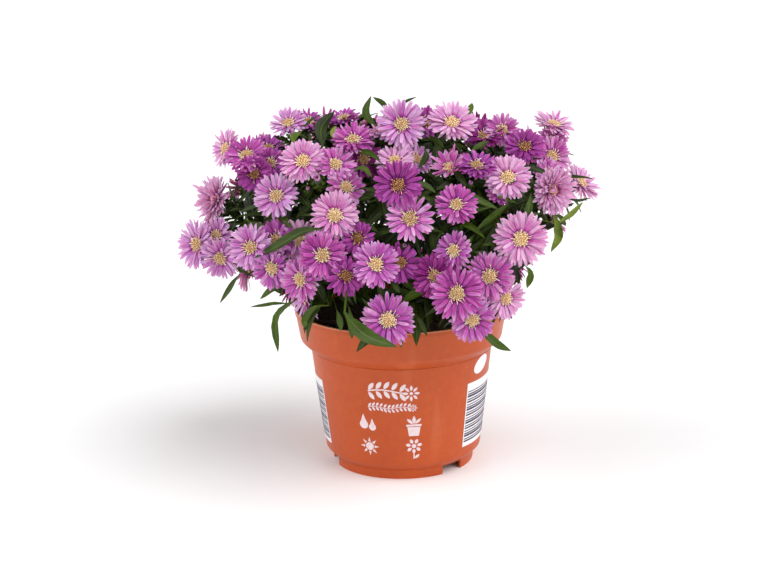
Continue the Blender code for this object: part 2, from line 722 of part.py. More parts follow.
def grow_leaf(stem, stems, heads, root, tip, width, normal, droop):
    """Adds a leaf to a stem where it is clear of every bloom, of the pot and of the other leaves."""
    grown = leaf_mesh(root, tip, width, normal, droop, CLEARANCE)
    sunk = root - unit(tip - root) * STALK_RADIUS * 0.5
    for share in (0.25, 0.5, 0.75, 1.0):
        p = root + (tip - root) * share
        across = math.hypot(p.x, p.y)
        if p.z < SOIL_HEIGHT + 5 * MM and across < BODY_TOP_RADIUS:
            return False
        if BODY_TOP_RADIUS - 4 * MM < across < RIM_RADIUS + 3 * MM and p.z < POT_HEIGHT + 2 * MM:
            return False
    rivals = heads + [t for other in stems if other is not stem for t in other.trees]
    if crosses(grown, rivals + stem.leaf_trees):
        return False
    outer = leaf_mesh(root + (tip - root) * LEAF_NECK, tip, width, normal, droop, CLEARANCE)
    if crosses(outer, stem.trees):
        return False
    stem.leaves.append((sunk, tip, width, normal, droop))
    tree = tree_of(grown)
    stem.trees.append(tree)
    stem.leaf_trees.append(tree)
    return True


def seen_leaves(stems, heads):
    placed = 0
    for root_x, root_y, tip_x, tip_y, width, layer in LEAVES_SEEN:
        tip, _ = on_crown(tip_x, tip_y, layer)
        base, _ = on_crown(root_x, root_y, layer - 1)
        done = False
        for hold, stem in nearest_hold(stems, base, 45 * MM)[:24]:
            if not 14 * MM < (hold - tip).length < 62 * MM:
                continue
            for droop in (6 * MM, 2 * MM, 10 * MM, -3 * MM):
                if grow_leaf(stem, stems, heads, hold, tip, width * MM, unit(tip - CROWN_ROOT), droop):
                    done = True
                    break
            if done:
                break
        placed += done
    return placed


def rule_leaves(stems, heads, limit):
    """Leaves on every stem and stalk, in drawn directions, where there is room for them."""
    draw = np.random.default_rng(LEAF_SEED)
    placed = 0
    for attempt in range(LEAF_TRIES):
        stem = stems[attempt % len(stems)]
        if stem.twigs and draw.random() < 0.72:
            path = stem.twigs[int(draw.integers(len(stem.twigs)))]
            root = along(path, 0.15 + 0.8 * draw.random())
        else:
            root = stem.at(0.50 + 0.48 * draw.random())
        out = unit(root - CROWN_ROOT + Vector((0, 0, 10 * MM)))
        stray = Vector([float(v) for v in draw.normal(size=3)])
        way = unit(out * 0.9 + unit(stray) * 0.95)
        length = LEAF_LENGTHS[attempt % len(LEAF_LENGTHS)] * (0.85 + 0.3 * draw.random())
        droop = (3 + 4 * draw.random()) * MM
        width = LEAF_WIDTH * (0.8 + 0.35 * draw.random())
        placed += grow_leaf(stem, stems, heads, root, root + way * length, width, out, droop)
        if placed >= limit:
            break
    return placed


def material(name, colour, roughness):
    made = bpy.data.materials.new(name)
    made.use_nodes = True
    shader = made.node_tree.nodes["Principled BSDF"]
    shader.inputs["Base Color"].default_value = (*colour, 1)
    shader.inputs["Roughness"].default_value = roughness
    shader.inputs["Metallic"].default_value = 0
    return made


def mesh_object(name, mesh, finish=None):
    data = bpy.data.meshes.new(name)
    data.from_pydata([tuple(p) for p in mesh[0]], [], mesh[1])
    data.update()
    made = bpy.data.objects.new(name, data)
    bpy.context.scene.collection.objects.link(made)
    if finish:
        data.materials.append(finish)
    return made


def boolean(body, meshes, operation, solver):
    """Joins to, or cuts from, a body the closed meshes given, and removes them."""
    if not meshes:
        return body
    group = bpy.data.collections.new("tools")
    bpy.context.scene.collection.children.link(group)
    tools = []
    for i, mesh in enumerate(meshes):
        tool = mesh_object(f"tool_{i}", mesh)
        bpy.context.scene.collection.objects.unlink(tool)
        group.objects.link(tool)
        tools.append(tool)
    modifier = body.modifiers.new("join", "BOOLEAN")
    modifier.operation = operation
    modifier.operand_type = "COLLECTION"
    modifier.collection = group
    modifier.solver = solver
    bpy.context.view_layer.update()
    result = bpy.data.meshes.new_from_object(body.evaluated_get(bpy.context.evaluated_depsgraph_get()))
    body.modifiers.clear()
    old = body.data
    body.data = result
    bpy.data.meshes.remove(old)
    for tool in tools:
        bpy.data.meshes.remove(tool.data)
    bpy.data.collections.remove(group)
    return body


def shells(grid):
    """The faces of each separate closed surface."""
    left = set(grid.faces)
    while left:
        shell = []
        reached = [left.pop()]
        while reached:
            face = reached.pop()
            shell.append(face)
            near = {other for edge in face.edges for other in edge.link_faces if other in left}
            left -= near
            reached += near
        yield shell


def fill_hollows(body):
    """Takes out the walls of hollows that are sealed inside a body, so that it is solid there."""
    grid = bmesh.new()
    grid.from_mesh(body.data)
    bmesh.ops.triangulate(grid, faces=grid.faces[:])
    for shell in list(shells(grid)):
        corners = [[v.co for v in face.verts] for face in shell]
        if sum(a.dot(b.cross(c)) for a, b, c in corners) < 0:
            bmesh.ops.delete(grid, geom=shell, context="FACES")
    grid.to_mesh(body.data)
    grid.free()


def lathe(profile, sides):
    """A closed solid turned from a profile of (radius, height) that starts and ends on the axis or closes."""
    points, rings = [], []
    for radius, height in profile:
        if radius == 0:
            rings.append([len(points)])
            points.append(Vector((0, 0, height)))
            continue
        rings.append(list(range(len(points), len(points) + sides)))
        for k in range(sides):
            turn = 2 * math.pi * k / sides
            points.append(Vector((radius * math.cos(turn), radius * math.sin(turn), height)))
    faces = []
    for a, b in zip(rings, rings[1:] + rings[:1]):
        if len(a) == len(b) == 1:
            continue
        for k in range(sides):
            n = (k + 1) % sides
            if len(a) == 1:
                faces.append((a[0], b[n], b[k]))
            elif len(b) == 1:
                faces.append((a[k], a[n], b[0]))
            else:
                faces += [(a[k], a[n], b[n]), (a[k], b[n], b[k])]
    return points, faces


def pot_profile():
    """The pot's section, from inside its foot, up its outside, over the rim and down to its floor."""
    return [
        (FOOT_RADIUS - WALL, 0), (FOOT_RADIUS, 0), (FOOT_RADIUS + 0.4 * MM, FLOOR_HEIGHT),
        (BODY_FOOT_RADIUS, BODY_FOOT_HEIGHT),
        (BODY_TOP_RADIUS, BODY_TOP_HEIGHT), (COLLAR_FOOT_RADIUS, COLLAR_FOOT_HEIGHT),
        (RIM_RADIUS, POT_HEIGHT - 0.8 * MM), (RIM_RADIUS - 0.5 * MM, POT_HEIGHT),
        (RIM_RADIUS - WALL, POT_HEIGHT - 0.4 * MM),
        (COLLAR_FOOT_RADIUS - WALL, COLLAR_FOOT_HEIGHT + WALL * 0.6),
        (BODY_TOP_RADIUS - WALL, BODY_TOP_HEIGHT + WALL * 0.6),
        (BODY_FOOT_RADIUS - WALL, BODY_FOOT_HEIGHT + WALL * 0.6),
        (FLOOR_RADIUS, FLOOR_HEIGHT + WALL), (0, FLOOR_HEIGHT + WALL), (0, FLOOR_HEIGHT),
        (FOOT_RADIUS - WALL, FLOOR_HEIGHT),
    ]


def box_mesh(centre, along, length, width, low, high):
    """A block lying along a level direction."""
    side = Vector((-along.y, along.x, 0))
    points = []
    for z in (low, high):
        for a, b in ((-1, -1), (1, -1), (1, 1), (-1, 1)):
            flat = centre + along * (a * length / 2) + side * (b * width / 2)
            points.append(Vector((flat.x, flat.y, z)))
    faces = [(0, 3, 2), (0, 2, 1), (4, 5, 6), (4, 6, 7)]
    for k in range(4):
        n = (k + 1) % 4
        faces += [(k, n, n + 4), (k, n + 4, k + 4)]
    return points, faces


def upright(centre, radius, sides, low, high):
    path = [Vector((centre.x, centre.y, low)), Vector((centre.x, centre.y, high))]
    return tube(path, [radius, radius], sides)


def bearing_vector(degrees):
    """A level direction at a bearing counted from the front, to the right."""
    turn = math.radians(degrees - 90)
    return Vector((math.cos(turn), math.sin(turn), 0))


def turned(name, profile, sides, finish):
    """A solid turned about the Z axis from its section by a Screw modifier."""
    data = bpy.data.meshes.new(name)
    closed = profile[0][0] > 0
    edges = [(i, i + 1) for i in range(len(profile) - 1)]
    if closed:
        edges.append((len(profile) - 1, 0))
    data.from_pydata([(radius, 0, height) for radius, height in profile], edges, [])
    made = bpy.data.objects.new(name, data)
    bpy.context.scene.collection.objects.link(made)
    data.materials.append(finish)
    screw = made.modifiers.new("turn", "SCREW")
    screw.steps = sides
    screw.render_steps = sides
    screw.use_merge_vertices = True
    screw.merge_threshold = 1e-5
    screw.use_smooth_shade = False
    return made


def cutter(name, mesh):
    """A helper solid that only cuts."""
    tool = mesh_object(name, mesh)
    tool.hide_render = True
    tool.display_type = "WIRE"
    return tool


def cut_by(body, meshes):
    for i, mesh in enumerate(meshes):
        modifier = body.modifiers.new(f"cut_{i + 1}", "BOOLEAN")
        modifier.operation = "DIFFERENCE"
        modifier.solver = "EXACT"
        modifier.object = cutter(f"cutter_{body.name}_{i + 1}", mesh)


def make_pot(finish):
    pot = turned("pot", pot_profile(), POT_SIDES, finish)
    cuts = []
    for bearing in NOTCH_BEARINGS:
        way = bearing_vector(bearing)
        cuts.append(box_mesh(way * FOOT_RADIUS, way, 12 * MM, NOTCH_WIDTH, -1 * MM, FLOOR_HEIGHT - 0.2 * MM))
    for k in range(DRAIN_COUNT):
        way = bearing_vector(NOTCH_BEARINGS[0] + 360 * k / DRAIN_COUNT)
        cuts.append(upright(way * DRAIN_CIRCLE, DRAIN_RADIUS, 6, 1 * MM, FLOOR_HEIGHT + 3 * MM))
    cuts.append(upright(Vector(), DRAIN_RADIUS, 6, 1 * MM, FLOOR_HEIGHT + 3 * MM))
    cut_by(pot, cuts)


def lump(x, y):
    """The compost's uneven height, from a few crossed waves."""
    return SOIL_LUMP * (
        0.5 * math.sin(210 * x + 130 * y) + 0.35 * math.sin(330 * y - 150 * x + 1)
        + 0.3 * math.sin(480 * x + 2) * math.sin(420 * y)
    )


def make_soil(stems, finish):
    """Compost filling the pot, with a plain hole for each stem."""
    inner = RIM_RADIUS - WALL - FIT_GAP - 1.1 * MM
    profile = [
        (0, FLOOR_HEIGHT + WALL + FIT_GAP), (FLOOR_RADIUS - FIT_GAP, FLOOR_HEIGHT + WALL + FIT_GAP),
        (BODY_FOOT_RADIUS - WALL - FIT_GAP, BODY_FOOT_HEIGHT + WALL),
        (BODY_TOP_RADIUS - WALL - FIT_GAP, BODY_TOP_HEIGHT + WALL),
        (COLLAR_FOOT_RADIUS - WALL - FIT_GAP, COLLAR_FOOT_HEIGHT + WALL),
        (inner, SOIL_HEIGHT), (42 * MM, SOIL_HEIGHT + 1 * MM), (18 * MM, SOIL_HEIGHT + 1 * MM),
        (0, SOIL_HEIGHT + 1 * MM),
    ]
    points, faces = lathe(profile, SOIL_SIDES)
    for p in points:
        if p.z >= SOIL_HEIGHT:
            p.z += lump(p.x, p.y)
    soil = mesh_object("compost", (points, faces), finish)
    low, high = SOIL_HEIGHT - STEM_DEPTH - 1 * MM, SOIL_HEIGHT + 8 * MM
    cut_by(soil, [upright(stem.root, STEM_RADIUS + 1.2 * MM, 5, low, high) for stem in stems])


def clear_scene():
    for old in list(bpy.data.objects):
        bpy.data.objects.remove(old)


def move_origin():
    for made in bpy.data.objects:
        made.location -= ORIGIN


def grow_plant():
    """The sprays of blooms and the stems that carry them, with every stalk and leaf in place."""
    blooms = seen_blooms()
    blooms += unseen_blooms(blooms)
    bunches = gather_bunches(blooms)
    settle(blooms)
    for _ in range(3):
        close_up(blooms)
        trim_petals(blooms)
    stems = main_stems()
    sprays = [Spray([b for b in blooms if b.bunch == number]) for number in range(bunches)]
    grow_sprays(stems, sprays, blooms)
    greens = [(stem.parts[0], None) for stem in stems]
    greens += [(mesh, bloom) for stem in stems for bloom, mesh in stem.stalks]
    trim_petals(blooms, greens)
    heads = [tree_of(bloom_mesh(b)) for b in blooms]
    seen = seen_leaves(stems, heads)
    rule_leaves(stems, heads, LEAF_LIMIT - seen)
    return sprays, stems


def make_blooms(sprays, finish):
    """One body for each group of blooms that touch."""
    bodies = [group for spray in sprays for group in groups_in(spray.blooms)]
    for number, group in enumerate(bodies):
        members = [bloom_mesh(b) for b in group]
        head = mesh_object(f"blooms_{number + 1:02d}", members[0], finish)
        boolean(head, members[1:], "UNION", "MANIFOLD")


def make_stems(stems, finish):
    """One body for each main stem with its stalks and leaves."""
    for number, stem in enumerate(stems):
        leaves = [leaf_mesh(*leaf) for leaf in stem.leaves]
        green = mesh_object(f"leafy_stem_{number + 1:02d}", stem.parts[0], finish)
        boolean(green, stem.parts[1:] + leaves, "UNION", "MANIFOLD")
        fill_hollows(green)


def main():
    clear_scene()
    plastic = material("terracotta_plastic", (0.66, 0.20, 0.07), 0.42)
    peat = material("compost", (0.035, 0.022, 0.015), 0.95)
    petal = material("lilac_petals", (0.55, 0.16, 0.50), 0.55)
    leaf = material("green_leaves", (0.055, 0.12, 0.03), 0.5)
    sprays, stems = grow_plant()
    make_pot(plastic)
    make_soil(stems, peat)
    make_blooms(sprays, petal)
    make_stems(stems, leaf)
    move_origin()


main()
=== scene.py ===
"""Potted aster, the looks: blooms, leaves, stems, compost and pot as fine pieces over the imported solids.

The first half repeats how the solids are placed, so that every piece stands where its solid does.
The second half models and finishes the pieces. Metres, +Z up.
"""

import math
from functools import cache
from itertools import combinations, product
from math import cos, hypot, pi, radians, sin, sqrt, tau

import bmesh
import bpy
import numpy as np
from bpy.props import FloatProperty, FloatVectorProperty, IntProperty
from bpy.types import Operator, Panel, PropertyGroup
from mathutils import Matrix, Quaternion, Vector, noise
from mathutils.bvhtree import BVHTree


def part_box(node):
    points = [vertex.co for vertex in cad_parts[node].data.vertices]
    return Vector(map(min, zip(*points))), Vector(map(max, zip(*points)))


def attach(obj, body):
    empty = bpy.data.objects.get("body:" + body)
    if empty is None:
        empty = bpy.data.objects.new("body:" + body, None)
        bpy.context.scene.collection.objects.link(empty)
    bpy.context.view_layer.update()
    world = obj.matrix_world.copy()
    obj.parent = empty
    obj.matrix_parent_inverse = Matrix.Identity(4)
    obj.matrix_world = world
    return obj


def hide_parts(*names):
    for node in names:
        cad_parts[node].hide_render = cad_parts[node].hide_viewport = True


bl_info = {
    "name": "Potted aster",
    "version": (1, 0, 0),
    "blender": (4, 5, 0),
    "location": "3D View > Sidebar > Aster",
    "description": "Builds the looks of a potted aster over its packed solids",
    "category": "Add Mesh",
}

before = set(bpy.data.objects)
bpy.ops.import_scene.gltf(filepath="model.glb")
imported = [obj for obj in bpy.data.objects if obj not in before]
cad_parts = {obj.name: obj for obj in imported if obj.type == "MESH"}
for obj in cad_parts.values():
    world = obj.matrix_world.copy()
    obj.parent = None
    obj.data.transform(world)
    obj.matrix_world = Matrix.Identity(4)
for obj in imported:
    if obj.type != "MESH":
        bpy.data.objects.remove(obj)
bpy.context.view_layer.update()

MM = 0.001

# The middle of the whole plant's box, from the pot's axis: the origin is there, on the ground
ORIGIN = Vector((-4.4 * MM, -2.1 * MM, 0))

# Pot
INK = 0.12 * MM
RIM_RADIUS = 60.8 * MM
POT_HEIGHT = 92 * MM
WALL = 1.2 * MM
COLLAR_FOOT_RADIUS = 58.4 * MM
COLLAR_FOOT_HEIGHT = 74.4 * MM
BODY_TOP_RADIUS = 52.5 * MM
BODY_TOP_HEIGHT = 68.7 * MM
BODY_FOOT_RADIUS = 45.2 * MM
BODY_FOOT_HEIGHT = 9.2 * MM
FOOT_RADIUS = 40.8 * MM
FLOOR_HEIGHT = 5.2 * MM
FLOOR_RADIUS = 40.3 * MM
NOTCH_BEARINGS = (42.6, 162.6, 282.6)
NOTCH_WIDTH = 14.5 * MM
DRAIN_RADIUS = 4.0 * MM
DRAIN_CIRCLE = 27 * MM
DRAIN_COUNT = 4

# Compost
FIT_GAP = 0.4 * MM
SOIL_HEIGHT = 84 * MM
SOIL_LUMP = 1.4 * MM

# Sight lines: where the photograph was taken from, and its scale
SIGHT_RANGE = 1.0
SIGHT_CLIMB = radians(14.7)
SIGHT_ROLL = radians(1.2)
SIGHT_TARGET = Vector((-8.3 * MM, 0, 101.1 * MM))
SIGHT_FOCAL_PX = 1731
SIGHT_CENTRE_PX = (386, 289.5)
SIGHT_BACK = Vector((0, -cos(SIGHT_CLIMB), sin(SIGHT_CLIMB)))
SIGHT_RIGHT = Vector((1, 0, 0))
SIGHT_RIGHT.rotate(Quaternion(SIGHT_BACK, -SIGHT_ROLL))
SIGHT_UP = SIGHT_BACK.cross(SIGHT_RIGHT)
SIGHT_EYE = SIGHT_TARGET + SIGHT_BACK * SIGHT_RANGE

# Crown of blooms
CROWN_CENTRE = Vector((-3 * MM, 2 * MM, 122 * MM))
CROWN_RADII = Vector((108 * MM, 96 * MM, 86 * MM))
CROWN_ROOT = Vector((0, 0, SOIL_HEIGHT))
LAYER = 5.5 * MM

# Each bloom that the photograph shows: pixel column and row of its disc, width in pixels,
# how far it faces right and up from the sight line in degrees, and its layer from inner to outer
BLOOMS_SEEN = (
    (289, 125, 39, -14, 42, 1), (308, 123, 33, 20, 50, -1), (247, 157, 44, -5, 35, 2),
    (228, 149, 40, -48, 10, 3), (267, 147, 36, 12, 40, -1), (270, 165, 34, 10, 8, 0),
    (255, 173, 39, -10, 0, 1), (217, 199, 46, -50, 8, 1), (277, 197, 47, -12, 8, 1),
    (303, 162, 48, -4, 20, 2), (335, 165, 43, 16, 30, 1), (361, 162, 40, 20, 14, -1),
    (345, 188, 40, 22, 12, 0), (354, 141, 44, 4, 46, 1), (344, 120, 34, -15, 62, -1),
    (382, 139, 30, -8, 72, 0), (402, 122, 51, 0, 9, 2), (424, 124, 38, 10, 32, -1),
    (450, 124, 52, 4, 38, 2), (485, 137, 42, -4, 46, 0), (502, 132, 37, -12, 22, 1),
    (525, 146, 42, -2, 33, 2), (555, 126, 42, 24, 56, 2), (548, 142, 34, 25, 10, 0),
    (552, 157, 43, 26, 3, 1), (551, 190, 50, 34, -10, 2), (550, 174, 36, 26, 12, 0),
    (580, 184, 44, 52, 34, 1), (512, 175, 48, 2, 12, 2), (476, 167, 44, 6, 50, 1),
    (448, 164, 36, -32, 34, 1), (395, 161, 40, -4, 38, 0), (415, 162, 35, 25, 28, -1),
    (398, 185, 50, 0, 4, 2), (410, 219, 50, 2, 7, 1), (333, 214, 50, -4, 0, 2),
    (456, 206, 45, 2, 26, 1), (521, 239, 56, 7, -5, 2), (455, 251, 41, -28, 6, 1),
    (495, 201, 28, 10, 25, -1), (490, 276, 51, 4, 0, 1), (457, 294, 56, 0, 0, 2),
    (502, 298, 43, 25, -8, 0), (471, 318, 47, 6, -14, 1), (434, 276, 46, -4, 0, 0),
    (400, 263, 41, 24, 0, 0), (376, 265, 49, 2, 11, 2), (360, 240, 36, -14, 6, 0),
    (346, 275, 42, 0, -17, 1), (323, 255, 48, -2, -4, 2), (303, 279, 46, -34, -6, 1),
    (272, 268, 44, -20, -16, 1), (250, 247, 47, -14, 0, 2), (277, 240, 42, -8, 4, 0),
    (298, 240, 42, -5, 4, -1), (218, 258, 45, -15, -28, 1), (198, 243, 50, -42, 0, 2),
    (221, 237, 38, -26, 10, 0), (388, 320, 55, 0, 0, 2),
)

# Blooms on the side that the photograph leaves unseen: a spiral of even spacing
SPIRAL_COUNT = 92
SPIRAL_TURN = pi * (3 - sqrt(5))
SPIRAL_LOWEST = -0.34
SKIRT_TAPER = 0.76
UNSEEN_FACING = 0.34
UNSEEN_SPACING = 1.06
TOP_SPACING = 0.92
EDGE_MARGIN = 0.9
UNSEEN_RADII = (14.6 * MM, 13.0 * MM, 14.0 * MM, 12.4 * MM)
UNSEEN_LAYERS = (2, 0, 1, 2, -1, 1)

# Blooms on the crown's top, out of the photograph's sight: millimetres right of and behind the crown's
# middle, and layer
BLOOMS_ON_TOP = ((-12, 28, 0), (40, 2, -1), (-79, 20, 0))

# The crown's outline in the photograph: pixel row, and the columns of its left and right edges there
CROWN_OUTLINE = (
    (100, 300, 560), (115, 268, 578), (135, 220, 580), (160, 212, 600), (190, 202, 603), (215, 198, 578),
    (240, 184, 542), (262, 210, 530), (282, 268, 518), (300, 286, 508), (320, 300, 500), (350, 310, 490),
)

# The crown's top edge in the photograph: pixel column, and the row of the edge there
CROWN_TOP = (
    (180, 235), (205, 178), (225, 148), (245, 132), (275, 112), (300, 109), (330, 116), (360, 114), (385, 106),
    (430, 105), (470, 112), (500, 117), (530, 124), (560, 116), (578, 130), (600, 182),
)
CROWN_TOP_MARGIN = 0.8

# Bunches: blooms that touch are one body
BUNCH_NODES = 48
BUNCH_MOST = 4
BUNCH_REACH = 1.35
BUNCH_TURN = radians(75)
BUNCH_SEEN_COST = 0.25

# How blooms settle: cups of different bunches stack or stand clear, and those of one bunch touch
SETTLE_ROUNDS = 160
SETTLE_STEP = 0.35
HOME_PULL = 0.16
CUP_SLOPE = 0.46
CUP_GAP = 1.8 * MM
TOUCH_NEAR = 0.50
TOUCH_FAR = 0.80
TOUCH_LEVEL = 1.0 * MM
CLOSE_ROUNDS = 24
CLOSE_STEP = 0.5 * MM

# One bloom, as shares of its radius unless in millimetres
PETALS = 10
PETALS_UNSEEN = 8
HEART = 0.31
PETAL_HALF_TURN = 0.90
PETAL_RISE = (radians(33), radians(13))
PETAL_LENGTH = (0.86, 1.0)
RIDGE_AT = 0.62
PETAL_THICK = 1.1 * MM
DISC_RISE = 2.8 * MM
DISC_SINK = 1.2 * MM
PETAL_TRIM = 0.88
PETAL_SHORTEST = 0.46
FACES_A_PETAL = 8
TRIM_ROUNDS = 12

# Stems and their bloom stalks
OUTER_STEMS = 7
INNER_STEMS = 3
STEM_RADIUS = 1.7 * MM
STEM_TIP_RADIUS = 1.1 * MM
STEM_SIDES = 5
STEM_DEPTH = 14 * MM
STEM_STAND = 30 * MM
STEM_RUN = (0.0, 0.33, 0.66, 1.0)
OUTER_CLIMB = radians(34)
INNER_CLIMB = radians(66)
OUTER_ROOT = 22 * MM
INNER_ROOT = 9 * MM
OUTER_REACH = 56 * MM
INNER_REACH = 62 * MM
TWIG_RADIUS = 0.95 * MM
TWIG_RUN = (0.0, 0.5, 1.0)
STALK_RADIUS = 0.75 * MM
STALK_DROP = 9 * MM
STALK_SIDES = 3
CALYX_RADIUS = 2.7 * MM
CALYX_LENGTH = 7 * MM
SEAT_GAP = 0.3 * MM
CLEARANCE = 0.45 * MM

# Where a twig may leave its stem, how it may arch and sway, and where a bunch's stalks may fork
TWIG_FORKS = (0.98, 0.64, 0.86, 0.75, 0.92, 0.70, 0.81)
TWIG_ARCHES = (0.0, 10 * MM, -8 * MM, 20 * MM, 32 * MM)
TWIG_SWAYS = (0.0, 9 * MM, -9 * MM)
SPRAY_DEPTHS = (20 * MM, 15 * MM, 26 * MM)
SPRAY_SHIFTS = (0.0, 6 * MM, -6 * MM)
SIDE_FORKS = (0.86, 0.72, 0.6)
WATCH = 62 * MM
RIM_MARGIN = 5 * MM

# Leaves
LEAF_WIDTH = 7.2 * MM
LEAF_THICK = 0.9 * MM
LEAF_FOLD = 0.9 * MM
LEAF_NECK = 0.2
LEAF_HOLD_REACH = 45 * MM
LEAF_LENGTHS = (38 * MM, 30 * MM, 34 * MM, 26 * MM)
LEAF_LIMIT = 70
LEAF_TRIES = 2600
LEAF_SEED = 11

# Each leaf that stands out of the crown in the photograph: pixel column and row of its root and tip,
# width in millimetres, and its layer
LEAVES_SEEN = (
    (300, 300, 277, 350, 8, 1), (294, 298, 250, 306, 6, 0), (290, 284, 260, 298, 8, 0),
    (245, 262, 220, 303, 7, 0), (352, 150, 366, 98, 7, 0), (392, 130, 373, 97, 7, 0),
    (400, 118, 416, 97, 6, -1), (340, 140, 331, 112, 9, -1), (472, 128, 471, 104, 6, -1),
    (470, 322, 509, 350, 8, 1), (345, 298, 305, 328, 7, 0), (340, 300, 396, 345, 8, 2),
    (404, 316, 426, 336, 6, 0), (545, 205, 551, 252, 8, 1), (552, 222, 582, 204, 8, 0),
    (524, 250, 529, 287, 7, 0), (318, 232, 254, 257, 9, 2), (545, 170, 574, 155, 5, 0),
    (430, 290, 402, 303, 9, 1), (380, 280, 394, 315, 7, 2), (500, 205, 470, 232, 8, 1),
)


def unit(vector):
    return vector.normalized()


def level(angle):
    return Vector((cos(angle), sin(angle), 0))


def upward(height):
    return Vector((0, 0, height))


def sight_line(column, row):
    """The eye and a direction of unit depth along the sight line through a pixel."""
    across = (column - SIGHT_CENTRE_PX[0]) / SIGHT_FOCAL_PX
    down = (row - SIGHT_CENTRE_PX[1]) / SIGHT_FOCAL_PX
    return SIGHT_EYE, SIGHT_RIGHT * across - SIGHT_UP * down - SIGHT_BACK


def on_crown(column, row, layer):
    """Where a pixel's sight line meets or nears that layer of the crown, and the depth."""
    eye, line = sight_line(column, row)
    radii = [r + layer * LAYER for r in CROWN_RADII]
    start = Vector([(e - c) / r for e, c, r in zip(eye, CROWN_CENTRE, radii)])
    step = Vector([d / r for d, r in zip(line, radii)])
    middle = -start.dot(step) / step.length_squared
    inside = middle**2 - (start.length_squared - 1) / step.length_squared
    depth = middle - sqrt(max(0.0, inside))
    return eye + line * depth, depth


def seen_at(place):
    """The pixel that shows a place, and how many pixels a metre takes there."""
    offset = place - SIGHT_TARGET - SIGHT_BACK * SIGHT_RANGE
    scale = SIGHT_FOCAL_PX / -offset.dot(SIGHT_BACK)
    column = SIGHT_CENTRE_PX[0] + offset.dot(SIGHT_RIGHT) * scale
    return column, SIGHT_CENTRE_PX[1] - offset.dot(SIGHT_UP) * scale, scale


def within_outline(place, margin):
    """The place, moved level and then down to be seen inside the crown's outline."""
    column, row, scale = seen_at(place)
    rows, lefts, rights = zip(*CROWN_OUTLINE)
    left = float(np.interp(row, rows, lefts)) + margin * scale
    right = float(np.interp(row, rows, rights)) - margin * scale
    kept = min(max(column, left), right)
    top = float(np.interp(kept, *zip(*CROWN_TOP)))
    drop = max(0, top + margin * CROWN_TOP_MARGIN * scale - row) / scale / cos(SIGHT_CLIMB)
    return place + SIGHT_RIGHT * ((kept - column) / scale) - upward(drop)


def facing(right, up):
    """The direction turned right and up from the sight line, in degrees."""
    turn, climb = radians(right), radians(up)
    ahead = SIGHT_BACK * (cos(turn) * cos(climb)) + SIGHT_RIGHT * (sin(turn) * cos(climb))
    return ahead + SIGHT_UP * sin(climb)


class Bloom:
    """A flower head: where its disc sits, which way it faces, its radius and its petals' lengths."""

    def __init__(self, place, face, radius, spin, petals=PETALS):
        self.place = place
        self.home = place.copy()
        self.face = unit(face)
        self.radius = radius
        self.spin = spin
        self.lengths = [1.0] * petals
        self.bunch = None
        self.joined = set()


def seen_blooms():
    blooms = []
    for index, (column, row, width, right, up, layer) in enumerate(BLOOMS_SEEN):
        place, depth = on_crown(column, row, layer)
        radius = width / 2 * depth / SIGHT_FOCAL_PX
        blooms.append(Bloom(place, facing(right, up), radius, index * SPIRAL_TURN))
    return blooms


def crown_bloom(index, way, layer, radius):
    """A bloom on the crown in a direction from its middle, inside the outline."""
    face = unit(Vector([w / r for w, r in zip(way, CROWN_RADII)]))
    place = CROWN_CENTRE + Vector([w * (r + layer * LAYER) for w, r in zip(way, CROWN_RADII)])
    return Bloom(within_outline(place, radius * EDGE_MARGIN), face, radius, index * SPIRAL_TURN, PETALS_UNSEEN)


def unseen_blooms(seen):
    """Blooms on the crown's top, then on an even spiral over its unseen side."""
    blooms = []
    for index, (right, behind, layer) in enumerate(BLOOMS_ON_TOP):
        way = Vector((right * MM / CROWN_RADII.x, behind * MM / CROWN_RADII.y, 0))
        way.z = sqrt(1 - way.length_squared)
        blooms.append(crown_bloom(index, way, layer, UNSEEN_RADII[index + 1]))
    for index in range(SPIRAL_COUNT):
        height = 1 - (1 - SPIRAL_LOWEST) * (index + 0.5) / SPIRAL_COUNT
        ring = sqrt(1 - height**2) * (1 + SKIRT_TAPER * min(0, height))
        bearing = index * SPIRAL_TURN
        way = Vector((ring * cos(bearing), ring * sin(bearing), height))
        layer = UNSEEN_LAYERS[index % len(UNSEEN_LAYERS)]
        bloom = crown_bloom(index, way, layer, UNSEEN_RADII[index % len(UNSEEN_RADII)])
        spacing = TOP_SPACING if height > 0.7 else UNSEEN_SPACING
        gaps = [(bloom.place - b.place).length / (bloom.radius + b.radius) for b in seen + blooms]
        if bloom.face.dot(SIGHT_BACK) < UNSEEN_FACING and min(gaps) >= spacing:
            blooms.append(bloom)
    return blooms


def gather_bunches(blooms):
    """Numbers the bunches: the nearest neighbours join first, until few enough are left."""
    pairs = []
    for (i, a), (j, b) in combinations(enumerate(blooms), 2):
        apart = (a.place - b.place).length / (a.radius + b.radius)
        seen = PETALS in (len(a.lengths), len(b.lengths))
        if apart < BUNCH_REACH and a.face.angle(b.face) < BUNCH_TURN:
            pairs.append((apart + BUNCH_SEEN_COST * seen, i, j))
    bunch = list(range(len(blooms)))
    for _, i, j in sorted(pairs):
        old, new = bunch[j], bunch[i]
        joined = sum(b in (old, new) for b in bunch)
        if old != new and joined <= BUNCH_MOST and len(set(bunch)) > BUNCH_NODES:
            bunch = [new if b == old else b for b in bunch]
            blooms[i].joined.add(blooms[j])
            blooms[j].joined.add(blooms[i])
    order = sorted(set(bunch), key=bunch.index)
    for bloom, number in zip(blooms, bunch):
        bloom.bunch = order.index(number)
    return len(order)


